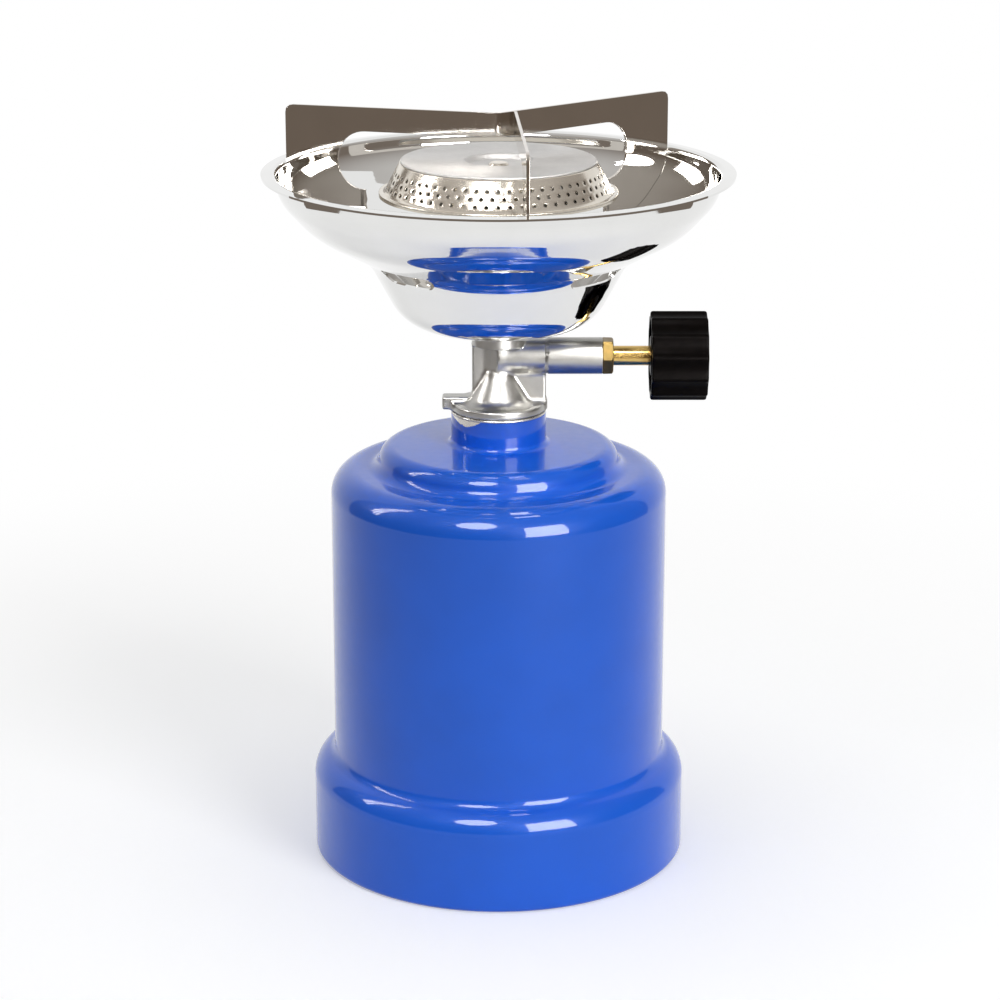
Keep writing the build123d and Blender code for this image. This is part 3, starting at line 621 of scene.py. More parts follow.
def dress(name, mesh, material, body, node, sharp=35.0):
    """Makes a piece of a mesh, smooth up to an angle, and gives it its finish, body, slot and node."""
    piece = bpy.data.objects.new(name, mesh)
    bpy.context.scene.collection.objects.link(piece)
    mesh.shade_smooth()
    mesh.set_sharp_from_angle(angle=math.radians(sharp))
    mesh.materials.clear()
    mesh.materials.append(material)
    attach(piece, body)
    if node:
        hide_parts(node)
    return piece


def bevel(piece, width, flat=False):
    """Rounds a piece's sharp edges; flat faces beside them may keep their own normals."""
    modifier = piece.modifiers.new("edge_round", "BEVEL")
    modifier.width = width
    modifier.segments = 2
    modifier.limit_method = "ANGLE"
    modifier.angle_limit = BEVEL_ANGLE
    modifier.harden_normals = flat


def dressed_copy(node, material, edge):
    """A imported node's own shape with its triangles merged, smooth-shaded and its edges rounded."""
    source = frame["nodes"][node]
    mesh = cleaned(source.data.copy(), True)
    bevel(dress(f"{node}_dressed", mesh, material, source["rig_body"], node), edge)


# Finishes

def add_node(tree, kind, inputs=(), output=0, **settings):
    """Adds a shader node and returns one of its outputs.

    Inputs go from a socket's name or number to a value or to another node's output.
    """
    node = tree.nodes.new(f"ShaderNode{kind}")
    for key, value in settings.items():
        setattr(node, key, value)
    for key, value in dict(inputs).items():
        if isinstance(value, bpy.types.NodeSocket):
            tree.links.new(value, node.inputs[key])
        else:
            node.inputs[key].default_value = value
    return node.outputs[output] if node.outputs else None


def computed(tree, operation, first, second):
    """Output of one step of arithmetic on outputs or numbers."""
    return add_node(tree, "Math", {0: first, 1: second}, operation=operation)


def shade(rgb, factor):
    """A colour made lighter or darker."""
    return tuple(min(channel * factor, 1.0) for channel in rgb)


class Finish:
    """A node material that reads the piece's own Object coordinates."""

    def __init__(self, name, **values):
        """Plain values go to the shader's own sockets, with spaces in place of underscores."""
        self.material = bpy.data.materials.new(name)
        self.material.use_nodes = True
        self.tree = self.material.node_tree
        self.sockets = self.tree.nodes["Principled BSDF"].inputs
        self.coordinates = add_node(self.tree, "TexCoord", output="Object")
        for key, value in values.items():
            self.sockets[key.replace("_", " ")].default_value = value

    def link(self, source, socket):
        """Links an output to one of the shader's sockets."""
        self.tree.links.new(source, self.sockets[socket])

    def noise(self, size, detail=3.0, stretch=(1.0, 1.0, 1.0)):
        """Cloudy pattern whose features measure about size, in metres, drawn out along the axes."""
        where = add_node(self.tree, "Mapping", {"Vector": self.coordinates, "Scale": stretch})
        return add_node(
            self.tree, "TexNoise", {"Vector": where, "Scale": 1.0 / size, "Detail": detail}, "Fac"
        )

    def rings(self, size, distortion=0.6):
        """Fine rings round the axis, a given distance apart, as a turning tool leaves them."""
        return add_node(self.tree, "TexWave", {
            "Vector": self.coordinates, "Scale": math.tau / size / 20, "Distortion": distortion,
            "Detail": 3.0,
        }, "Fac", wave_type="RINGS", rings_direction="Z")

    def spread(self, source, low, high, start=0.3, end=0.7):
        """Maps a pattern from start..end on to low..high."""
        return add_node(self.tree, "MapRange", {
            "Value": source, "From Min": start, "From Max": end, "To Min": low, "To Max": high,
        })

    def cloud(self, size, detail):
        """Cloudy pattern stretched to run from 0 to 1."""
        return self.spread(self.noise(size, detail), 0.0, 1.0)

    def math(self, operation, first, second):
        """One step of arithmetic on outputs or numbers."""
        return computed(self.tree, operation, first, second)

    def axis(self, name):
        """One of the Object coordinates, by the letter of its axis."""
        return add_node(self.tree, "SeparateXYZ", {"Vector": self.coordinates}, name)

    def mixed(self, share, first, second):
        """Colour between two colours, or two outputs, by a share."""
        first, second = (
            end if isinstance(end, bpy.types.NodeSocket) else (*end, 1.0) for end in (first, second)
        )
        return add_node(self.tree, "Mix", {"Factor": share, 6: first, 7: second}, 2, data_type="RGBA")

    def toned(self, share, rgb, dark, light):
        """Colour between a darker and a lighter tone of another by a share."""
        return self.mixed(share, shade(rgb, dark), shade(rgb, light))

    def done(self, body, roughness, relief, height):
        """The material, with its base colour, its roughness and a relief of a full height in metres."""
        self.link(body, "Base Color")
        self.link(roughness, "Roughness")
        bump = add_node(self.tree, "Bump", {"Strength": 1.0, "Distance": height, "Height": relief})
        self.link(bump, "Normal")
        return self.material


# Bare scrape on the neck: its middle in radii of the neck, the bend of its lower edge, its depth, the
# roughness of that edge, and how much smoother than paint the steel is
SCRAPE_ASIDE = 0.68
SCRAPE_BEND = 120.0
SCRAPE_DEPTH = 1.9 * MM
SCRAPE_EDGE = 0.2 * MM
SCRAPE_GLOSS = 0.22


def enamel(name, colours, casing=None):
    """Gloss stove enamel: even blue with a faint cloud, orange-peel relief and, on the neck, a bare scrape.

    The scrape is the part of the neck's front that lies over a parabola in x with a ragged edge.
    """
    finish = Finish(
        name, IOR=1.5, Specular_IOR_Level=0.1, Coat_Weight=1.0, Coat_Roughness=0.04, Coat_IOR=1.36
    )
    body = finish.toned(finish.cloud(18 * MM, 2.0), colours.paint, 0.96, 1.04)
    roughness = finish.spread(finish.noise(2.5 * MM, 4.0), 0.35, 0.40)
    if casing:
        aside = finish.math("ADD", finish.axis("X"), casing.neck_r * SCRAPE_ASIDE)
        dip = finish.math("MULTIPLY", finish.math("MULTIPLY", aside, aside), SCRAPE_BEND)
        lowest = finish.math("ADD", dip, casing.neck_top - SCRAPE_DEPTH)
        ragged = finish.spread(finish.noise(1.4 * MM, 2.0), -SCRAPE_EDGE, SCRAPE_EDGE)
        over = finish.math("ADD", finish.math("SUBTRACT", finish.axis("Z"), lowest), ragged)
        bare = finish.spread(over, 0.0, 1.0, 0.0, SCRAPE_EDGE)
        front = finish.spread(finish.axis("Y"), 1.0, 0.0, -0.5 * MM, 0.5 * MM)
        root_z = casing.neck_root_z
        on_neck = finish.spread(finish.axis("Z"), 0.0, 1.0, root_z + 2 * MM, root_z + 3 * MM)
        bare = finish.math("MULTIPLY", finish.math("MULTIPLY", bare, front), on_neck)
        body = finish.mixed(bare, body, colours.bare_steel)
        finish.link(bare, "Metallic")
        roughness = finish.math("SUBTRACT", roughness, finish.math("MULTIPLY", bare, SCRAPE_GLOSS))
    return finish.done(body, roughness, finish.noise(1.6 * MM, 2.0), 0.0016 * MM)


def mirror_steel(name, colours):
    """Polished pressed steel: sharp reflections, faint rings and finer haze."""
    finish = Finish(name, Metallic=1.0)
    haze = finish.noise(9 * MM, 4.0)
    body = finish.toned(haze, colours.mirror, 0.97, 1.03)
    return finish.done(body, finish.spread(haze, 0.02, 0.045), finish.rings(1.1 * MM), 0.0004 * MM)


def blade_steel(name, colours):
    """Bright rolled sheet: streaks along the blade and a warm cast."""
    finish = Finish(name, Metallic=1.0)
    streak = finish.noise(3.0 * MM, 5.0, (0.25, 0.25, 6.0))
    body = finish.toned(finish.noise(14 * MM, 2.0), colours.blade, 0.92, 1.06)
    return finish.done(body, finish.spread(streak, 0.03, 0.07), streak, 0.0004 * MM)


def satin_nickel(name, plating, rough):
    """Satin plated sheet of the burner: fine rings, soft reflections, a little browner in places."""
    finish = Finish(name, Metallic=1.0)
    body = finish.toned(finish.cloud(10 * MM, 3.0), plating, 0.92, 1.04)
    roughness = finish.spread(finish.noise(1.5 * MM, 3.0), rough * 0.9, rough * 1.1)
    return finish.done(body, roughness, finish.rings(0.5 * MM, 1.0), 0.0005 * MM)


def cast_zinc(name, colours):
    """Tumbled die casting: a soft even sheen with faint flow marks."""
    finish = Finish(name, Metallic=1.0)
    body = finish.toned(finish.cloud(4 * MM, 4.0), colours.zinc, 0.93, 1.04)
    roughness = finish.spread(finish.noise(0.9 * MM, 3.0), 0.29, 0.36)
    return finish.done(body, roughness, finish.noise(0.5 * MM, 2.0), 0.0012 * MM)


def turned_brass(name, colours, valve=None, rough=0.2, tone=1.0):
    """Machined brass: rings across the arm's axis, random dark patina, and painted shade of the knob on the
    spindle beside it.
    """
    finish = Finish(name, Metallic=1.0)
    patina_and_knob_shade = finish.spread(finish.noise(2.4 * MM, 3.0), 0.0, 0.5, 0.5, 0.8)
    if valve:
        # Painted shade and reflection of the dark knob: the spindle darkens in patches over its last 3.4 mm
        # before the knob
        near = finish.spread(finish.axis("X"), 0.0, 1.0, valve.knob_x - 3.4 * MM, valve.knob_x)
        knob_shade_patches = finish.spread(finish.noise(1.6 * MM, 3.0), 0.2, 1.0, 0.35, 0.65)
        patina_and_knob_shade = finish.math("MAXIMUM", patina_and_knob_shade, finish.math("MULTIPLY", near, knob_shade_patches))
    body = finish.mixed(patina_and_knob_shade, shade(colours.brass, tone), colours.dark_brass_patina_and_shade)
    roughness = finish.spread(finish.noise(1.0 * MM, 3.0), rough * 0.85, rough * 1.15)
    return finish.done(body, roughness, finish.noise(0.6 * MM, 2.0, (8.0, 0.2, 0.2)), 0.002 * MM)


def black_moulding(name, colours):
    """Black plastic: spark-eroded grain and a slightly greyer bloom in random patches."""
    finish = Finish(name, IOR=1.09)
    body = finish.toned(finish.cloud(2.4 * MM, 4.0), colours.plastic, 0.8, 1.6)
    roughness = finish.spread(finish.noise(0.8 * MM, 3.0), 0.30, 0.40)
    return finish.done(body, roughness, finish.noise(0.35 * MM, 2.0), 0.002 * MM)


def plain_rubber(name, colours):
    """Matt seal rubber with a fine bloom."""
    finish = Finish(name)
    bloom = finish.noise(1.5 * MM, 3.0)
    body = finish.toned(bloom, colours.rubber, 0.8, 1.5)
    return finish.done(body, finish.spread(bloom, 0.65, 0.85), finish.noise(0.4 * MM, 2.0), 0.01 * MM)


def bare_sheet(name, rgb, rough, grain):
    """Unpainted steel or tinplate: a rolled grain and a soft sheen."""
    finish = Finish(name, Metallic=1.0)
    streak = finish.noise(grain, 4.0, (1.0, 1.0, 5.0))
    roughness = finish.spread(streak, rough * 0.8, rough * 1.3)
    return finish.done(finish.toned(streak, rgb, 0.9, 1.06), roughness, streak, 0.003 * MM)


def finish_of(maker, name, *values):
    """A finish by name, made the first time it is asked for. No packed slot has the same name."""
    return bpy.data.materials.get(name) or maker(name, *values)


def plain_steel(colours):
    """Finish of bare steel pieces."""
    return finish_of(bare_sheet, "bare_sheet", colours.bare_steel, 0.28, 2 * MM)


def burner_plating(colours):
    """Finish of the burner's plated sheets."""
    return finish_of(satin_nickel, "satin_nickel", colours.nickel, 0.2)


# Operators

class STOVE_OT_casing(bpy.types.Operator):
    """Drawn casing with hem, skirt, stepped dome and neck, and the bare rim of its bush"""

    bl_idname = "stove.casing"
    bl_label = "Casing"

    def execute(self, context):
        settings = context.scene.stove
        s = settings.casing
        outline = rounded([
            (s.skirt_r - s.hem_w, 0, 0), (s.skirt_r, 0, s.hem_r), (s.skirt_r, s.skirt_h, s.skirt_round),
            (s.shell_r, s.skirt_h + s.skirt_rise, s.skirt_root), (s.shell_r, s.crown_z, s.crown_round),
            (s.tier_r + s.tier_draft, s.crown_z, s.step_root), (s.tier_r, s.tier_z, s.tier_round),
            (s.neck_r, s.neck_root_z, s.neck_root), (s.neck_r, s.neck_top, 0),
        ], 10)
        shell = turned(sheet_loop(outline, s.wall), s.segments)
        paint = finish_of(enamel, "blue_enamel", settings.colours, s)
        add_piece("casing_shell", shell, paint, "casing_body", "casing")

        bush_r = s.neck_r - s.wall
        rim = rounded([(radius, height, s.rim_round) for radius, height in (
            (s.bush_bore_r, s.bush_z), (bush_r, s.bush_z), (bush_r, s.neck_top),
            (s.neck_r, s.neck_top), (s.neck_r, s.bush_top), (s.bush_bore_r, s.bush_top),
        )], 4, closed=True)
        shell = turned(rim, s.segments)
        steel = plain_steel(settings.colours)
        add_piece("neck_rim", shell, steel, "casing_body", "neck_bush")
        return {"FINISHED"}


class STOVE_OT_base(bpy.types.Operator):
    """Base lid with its grip bar, and the bayonet lugs that carry it"""

    bl_idname = "stove.base"
    bl_label = "Base lid"

    edge: length("Round along the pressed edges", 0.2)

    def execute(self, context):
        paint = finish_of(enamel, "blue_enamel_inside", context.scene.stove.colours)
        for node in ("base_lid", "lid_grip", "bayonet_lugs"):
            dressed_copy(node, paint, self.edge)
        return {"FINISHED"}


def arm_height():
    """Height of the valve arm's axis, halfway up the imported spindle."""
    low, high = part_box("valve_spindle")
    return (low.z + high.z) / 2


# Shares of the casting's fillet where these forms meet the rest
WEB_FILLET = 0.6
COLLAR_FILLET = 0.4
FLANGE_FILLET = 1.4
LUG_FILLET = 0.8
# Gap under the bowl
SEAT_GAP = 0.02 * MM


def casting_field(s, arm_z):
    """Signed distance of the cast valve body as a function of x, y and z.

    Flange, cone, tube, collar and spigot are turned about +Z, the arm's two parts are turned about +X,
    the web is a flat polygon and the lug a block. They are joined by smooth unions, and the bores for
    spindle and nut and a fine groove round the arm are taken away.
    """
    middle = s.flange_z + s.flange_t / 2
    cone_z = s.flange_z + s.flange_t
    seat_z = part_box("bowl")[0].z - SEAT_GAP
    collar_z = seat_z - s.collar_t
    lug_z = s.flange_z + s.lug_lift + s.lug_h / 2
    web_slope = (seat_z - arm_z) / s.arm_root_len
    past_arm = s.arm_len * 2

    def field(x, y, z):
        radius = np.hypot(x, y)
        out = np.hypot(y, z - arm_z)
        flange = carve(radius - s.flange_r, np.abs(z - middle) - s.flange_t / 2, s.edge)
        cone = frustum(radius, z, middle, cone_z + s.cone_h, s.cone_r, s.tube_r)
        tube = cylinder(radius, z, cone_z, seat_z, s.tube_r)
        collar = cylinder(radius, z, collar_z, seat_z, s.collar_r)
        spigot = cylinder(radius, z, collar_z, s.spigot_top, s.spigot_r)
        root = cylinder(out, x, 0, s.arm_root_len, s.arm_root_r)
        arm = cylinder(out, x, s.arm_root_len, s.arm_len, s.arm_r)
        groove = np.hypot(out - s.arm_r, x - s.arm_root_len - s.groove_r) - s.groove_r
        web = carve(np.abs(y) - s.web_t / 2, np.maximum(-s.web_left - x, x - s.arm_root_len), s.edge)
        web = np.maximum(web, np.maximum(middle - z, z - collar_z + web_slope * np.maximum(x, 0)))
        lug = carve(np.abs(y) - s.lug_w / 2, np.abs(z - lug_z) - s.lug_h / 2, s.edge)
        lug = carve(lug, np.maximum(-s.lug_reach - x, x), s.edge)
        body = blend(cone, tube, s.fillet)
        body = blend(body, web, s.fillet * WEB_FILLET)
        body = np.minimum(blend(body, root, s.fillet), arm)
        body = blend(body, np.minimum(collar, spigot), s.fillet * COLLAR_FILLET)
        body = blend(body, flange, s.fillet * FLANGE_FILLET)
        body = blend(body, lug, s.fillet * LUG_FILLET)
        bore = cylinder(out, x, 0, past_arm, s.bore_r)
        gland = cylinder(out, x, s.arm_len - s.gland_depth, past_arm, s.gland_r)
        ways = np.minimum(np.minimum(bore, gland), groove)
        ends = np.maximum(s.flange_z - z, x - s.arm_len)
        return np.maximum(np.maximum(body, -ways), ends)

    return field


# Steepness of the thread's flanks, and how far its root is widened
THREAD_FLANK = 4
THREAD_ROOT = 1.6


def threaded_stub(s, segments=96, rows_in_turn=10):
    """Threaded stub: radius falls and rises by the thread's depth with the phase z / pitch - a / tau."""
    thread_z = s.flange_z - s.thread_len
    top_z = s.flange_z + s.flange_t / 2
    rows = int(s.thread_len / s.thread_pitch * rows_in_turn)
    height = np.linspace(thread_z, s.flange_z, rows)[:, None]
    turns = full_turn(segments)
    phase = np.mod(height / s.thread_pitch - turns / math.tau, 1.0)
    groove = np.clip(THREAD_ROOT - np.abs(phase - 0.5) * THREAD_FLANK, 0, 1)
    ends = np.clip(np.minimum(height - thread_z, s.flange_z - height) / s.thread_pitch, 0, 1)
    thread = about_axis(s.stub_r - s.thread_depth * groove * ends, turns, height)
    nose = lathe(np.array([(0, s.nose_z), (s.nose_r, s.nose_z), (s.nose_r, thread_z)]), segments)
    top = lathe(np.array([(s.spigot_r, top_z), (0, top_z)]), segments)
    return surface(np.concatenate([nose, thread, top]))


NORMAL_SHARE = 0.15


class STOVE_OT_valve_body(bpy.types.Operator):
    """Die-cast valve body, whose normals are its field's slopes, and its threaded stub"""

    bl_idname = "stove.valve_body"
    bl_label = "Valve body"

    def execute(self, context):
        settings = context.scene.stove
        s = settings.head
        margin = s.net_step * 3
        low = (-s.lug_reach - margin, -s.flange_r - margin, s.flange_z - margin)
        high = (s.arm_len + margin, s.flange_r + margin, s.spigot_top + margin)
        field = casting_field(s, arm_height())
        shell = surface_net(field, low, high, s.net_step)
        zinc = finish_of(cast_zinc, "cast_zinc", settings.colours)
        mesh = add_piece("valve_casting", shell, zinc, "head_body", "valve_body", 50.0).data
        points = np.empty(len(mesh.vertices) * 3)
        mesh.vertices.foreach_get("co", points)
        slope = field_slope(field, points.reshape(-1, 3), s.net_step * NORMAL_SHARE)
        mesh.normals_split_custom_set_from_vertices(slope.tolist())
        add_piece("threaded_stub", threaded_stub(s), zinc, "head_body", None)
        return {"FINISHED"}


# Rounds of the spindle's edges, of the edges inside the knob, and of its well's mouth and floor
SPINDLE_ROUND = 0.3 * MM
HUB_ROUND = 0.3 * MM
WELL_ROUND = 0.4 * MM
WELL_ROOT = 0.2 * MM
# Slope of the nut's chamfer, how much its ends follow the hexagon, and its least radius over the boss
CHAMFER_SLOPE = 1.6
FLAT_SHARE = 0.5
BOSS_MARGIN = 1.02


def hex_nut(s, segments=120):
    """Gland nut: radius is the smaller of a hexagon's, apothem / cos of the angle from the flat's middle,
    and a chamfer cone's, on a section that runs from the bore over boss and head and back."""
    profile = rounded([
        (s.bore_r, s.boss_x, 0), (s.boss_r, s.boss_x, s.nut_round), (s.boss_r, s.nut_x, 0),
        (s.nut_r, s.nut_x, s.nut_round), (s.nut_r, s.nut_end, s.nut_round),
        (s.bore_r, s.nut_end, s.nut_round),
    ], 4, closed=True)
    turns = full_turn(segments)
    flat = math.tau / 6
    hexagon = s.nut_r * math.cos(flat / 2) / np.cos(np.mod(turns, flat) - flat / 2)
    radius, height = profile[:, :1], profile[:, 1:]
    cone = s.nut_r - s.nut_chamfer + (s.nut_end - height) * CHAMFER_SLOPE
    limited = np.minimum(np.minimum(radius, hexagon - (s.nut_r - radius) * FLAT_SHARE), cone)
    least = s.boss_r * BOSS_MARGIN
    radius = np.where(radius > least, np.maximum(limited, least), radius)
    return surface(about_axis(radius, turns, height), wrap_rows=True)


def fluted_knob(s, steps=18):
    """Knob: a lathe section whose radius is cut back by scallops.

    A scallop is an arc of radius f about a centre at distance c from the axis, so its radius at the angle
    d from its middle is c cos d - sqrt(f^2 - c^2 sin^2 d). The cut fades to nothing under the skin.
    """
    inner_r = s.knob_r - s.knob_skin
    front_x, grip_x, well_x = s.knob_end - s.knob_front_t, s.knob_x + s.grip_len, s.knob_end - s.well_depth
    profile = rounded([
        (0, grip_x, 0), (s.spindle_r, grip_x, HUB_ROUND), (s.spindle_r, s.knob_x, HUB_ROUND),
        (s.hub_r, s.knob_x, HUB_ROUND), (s.hub_r, front_x, HUB_ROUND), (inner_r, front_x, HUB_ROUND),
        (inner_r, s.knob_x, HUB_ROUND), (s.knob_r, s.knob_x, s.knob_round),
        (s.knob_r, s.knob_end, s.knob_round), (s.well_r, s.knob_end, WELL_ROUND),
        (s.well_r, well_x, WELL_ROOT), (0, well_x, 0),
    ], 5)
    half = s.knob_r * math.sin(math.pi / s.flutes) - s.flute_land / 2
    arc = (half**2 + s.flute_depth**2) / (s.flute_depth * 2)
    centre = math.sqrt(s.knob_r**2 - half**2) + math.sqrt(arc**2 - half**2)
    turns = full_turn(s.flutes * steps) + s.flute_phase
    pitch = math.tau / s.flutes
    off = np.mod(turns - s.flute_phase + pitch / 2, pitch) - pitch / 2
    scallop = centre * np.cos(off) - np.sqrt(np.maximum(arc**2 - (centre * np.sin(off))**2, 0))
    cut = s.knob_r - np.minimum(scallop, s.knob_r)
    radius, height = profile[:, :1], profile[:, 1:]
    share = np.clip((radius - s.knob_r + s.flute_fade) / s.flute_fade, 0, 1)
    return surface(about_axis(radius - cut * share, turns, height))


# Radius of the screw's dome in radii of its head, and the rounds of head and recess
DOME_SHARE = 0.9
HEAD_EDGE = 0.3 * MM
RECESS_EDGE = 0.1 * MM


def screw_field(s, head_x, arm_z):
    """Signed distance of the knob screw: a domed head with a cross recess."""
    def field(x, y, z):
        out = np.hypot(y, z - arm_z)
        dome_r = s.screw_r * DOME_SHARE
        dome = np.hypot(out, x - head_x + dome_r) - (dome_r + s.screw_t)
        head = carve(cylinder(out, x, head_x, head_x + s.screw_t, s.screw_r), dome, HEAD_EDGE)
        across, up = np.abs(y), np.abs(z - arm_z)
        cross = np.minimum(
            np.maximum(across - s.slot_w / 2, up - s.slot_len / 2),
            np.maximum(up - s.slot_w / 2, across - s.slot_len / 2),
        )
        return carve(head, -np.maximum(cross, head_x + s.screw_t - s.slot_depth - x), RECESS_EDGE)

    return field


class STOVE_OT_valve_gear(bpy.types.Operator):
    """Gland nut, spindle, fluted knob and its screw, along the arm's axis"""

    bl_idname = "stove.valve_gear"
    bl_label = "Knob and spindle"

    def execute(self, context):
        settings = context.scene.stove
        s = settings.valve
        arm_z = arm_height()
        dull_brass = finish_of(turned_brass, "dull_brass", settings.colours, None, 0.38, 0.28)
        nut = along_arm(hex_nut(s), arm_z)
        add_piece("hex_nut", nut, dull_brass, "head_body", "gland_nut", 28.0)

        # The spindle's finish paints the knob's shade and reflection on the spindle beside the knob
        brass = finish_of(turned_brass, "spindle_brass", settings.colours, s)
        rod = rounded([
            (0, s.stem_x, 0), (s.stem_r, s.stem_x, 0), (s.stem_r, s.rod_x, SPINDLE_ROUND),
            (s.spindle_r, s.rod_x, SPINDLE_ROUND), (s.spindle_r, s.rod_end, SPINDLE_ROUND),
            (0, s.rod_end, 0),
        ], 4)
        rod = along_arm(turned(rod, 64, closed=False), arm_z)
        add_piece("spindle_rod", rod, brass, "spindle_body", "valve_spindle")

        black = finish_of(black_moulding, "black_moulding", settings.colours)
        knob = along_arm(fluted_knob(s), arm_z)
        add_piece("fluted_knob", knob, black, "spindle_body", "knob", 40.0)

        head_x = s.knob_end - s.well_depth
        margin = s.screw_step * 3
        low = (head_x - margin, -s.screw_r - margin, arm_z - s.screw_r - margin)
        high = (head_x + s.screw_t + margin, s.screw_r + margin, arm_z + s.screw_r + margin)
        screw = surface_net(screw_field(s, head_x, arm_z), low, high, s.screw_step)
        steel = plain_steel(settings.colours)
        add_piece("cross_screw", screw, steel, "spindle_body", "knob_screw", 45.0)
        return {"FINISHED"}


# Shares of the rim's radius and of the depth at the corners of the bowl's outline
BOWL_CORNERS = ((0.418, 0.0), (0.588, 0.446), (0.848, 0.645), (0.985, 0.860), (1.0, 1.0))


def bowl_outline(s, steps=14):
    """Outer outline of the bowl from the bore out to the lip, and the corner where cup and dish meet."""
    rim_r, rim_z = s.outer_r - s.lip_w, s.top_z - s.wall
    depth = rim_z - s.bottom_z
    rounds = (s.cup_round, s.shoulder_round, s.dish_low_round, s.dish_high_round, s.lip_root)
    corners = [(rim_r * r, s.bottom_z + depth * z, bend) for (r, z), bend in zip(BOWL_CORNERS, rounds)]
    lip = (s.outer_r - s.lip_inset, rim_z - s.lip_drop, 0)
    return rounded([(s.bore_r, s.bottom_z, 0), *corners, lip], steps), np.array(corners[1][:2])


def slot_edge(across, along, half_len, radius):
    """Share of the way from a slot's middle to each point at which its rounded outline is met."""
    straight = radius / np.maximum(np.abs(along), 1e-12)
    square = across**2 + along**2
    inside = (half_len * across)**2 - square * (half_len**2 - radius**2)
    round_end = (half_len * np.abs(across) + np.sqrt(np.maximum(inside, 0))) / square
    return np.where(np.abs(across) * straight <= half_len, straight, round_end)


def bowl_shell(s, window_columns=26, plain_columns=38, window_rows=8):
    """Bowl as a grid of stations along its outline and turns about +Z.

    Round each slot a window of the grid is laid out anew: its rings run from the window's border to the
    slot's outline, in straight steps of distance along the outline and of arc across it. The same grid
    one wall further in gives the inner face, and strips join the two along slots, bore and lip.
    """
    outline, corner = bowl_outline(s)
    walk = walked(outline)
    middle = walk[np.argmin(np.hypot(*(outline - corner).T))]
    half_w, half_len = s.slot_w / 2, (s.slot_len - s.slot_w) / 2
    reach_along = half_w + s.window_margin
    extra = middle + np.linspace(-reach_along, reach_along, window_rows + 1)
    stations = np.unique(np.concatenate([walk, extra]).round(9))
    first, last = np.searchsorted(stations, (middle - reach_along - 1e-7, middle + reach_along - 1e-7))
    corner_r = np.interp(middle, walk, outline[:, 0])
    half_turn = (half_len + reach_along) / corner_r
    sector = math.tau / s.slots
    window_turns = np.linspace(-half_turn, half_turn, window_columns + 1)
    plain_turns = np.linspace(half_turn, sector - half_turn, plain_columns + 1)
    sector_turns = np.concatenate([window_turns, plain_turns[1:-1]])
    starts = s.slot_azimuth + sector * np.arange(s.slots)
    turns = (starts[:, None] + sector_turns).ravel()
    in_window = (np.arange(len(turns)) % len(sector_turns)) < window_columns

    rows = np.arange(first, last + 1)
    columns = np.arange(window_columns + 1)
    border_rows = np.concatenate([
        np.full(window_columns, first), rows[:-1], np.full(window_columns, last), rows[:0:-1],
    ])
    border_columns = np.concatenate([
        columns[:-1], np.full(len(rows) - 1, window_columns), columns[:0:-1], np.zeros(len(rows) - 1, int),
    ])
    border_along = stations[border_rows] - middle
    border_turn = window_turns[border_columns]
    share = slot_edge(border_turn * corner_r, border_along, half_len, half_w)
    inward = 1 + np.linspace(0, 1, s.window_rings + 1)[:, None] * (share - 1)

    def carried(line, along, turn):
        radius, height = (np.interp(along, walk, values) for values in line.T)
        return about_axis(radius, turn, height)

    shells, edges = [], []
    for line in (outline, parallel(outline, s.wall)):
        grid = carried(line, *np.broadcast_arrays(stations[:, None], turns))
        points, cells = surface(grid)
        row_inside = (np.arange(len(stations) - 1) >= first) & (np.arange(len(stations) - 1) < last)
        kept = ~(row_inside[:, None] & in_window)
        shells.append((points, cells[kept.ravel()]))
        windows = [
            carried(line, middle + border_along * inward, start + border_turn * inward) for start in starts
        ]
        shells += [surface(window) for window in windows]
        edges.append([grid[0], grid[-1], *[window[-1] for window in windows]])
    shells += [surface(np.stack(pair)) for pair in zip(*edges)]
    return joined(*shells)


class STOVE_OT_bowl(bpy.types.Operator):
    """Polished two-step bowl with lip and air slots"""

    bl_idname = "stove.bowl"
    bl_label = "Bowl"

    def execute(self, context):
        settings = context.scene.stove
        mirror = finish_of(mirror_steel, "polished_sheet", settings.colours)
        shell = bowl_shell(settings.bowl)
        add_piece("polished_bowl", shell, mirror, "head_body", "bowl", 40.0)
        return {"FINISHED"}


# Points along a side of a hole's cell, borders of the rows, and the rim round a hole
HOLE_SIDE = 4
ROW_SHARES = (0.10, 0.34, 0.58, 0.82)
RIM_SHARE = 1.45
RIM_DEPTH = 0.9
# Rounds of the ring's sheet: outside its foot and its top, along the ledge, and elsewhere
FOOT_ROUND = 0.5 * MM
TOP_ROUND = 0.4 * MM
LEDGE_ROUND = 0.1 * MM
SHEET_ROUND = 0.2 * MM


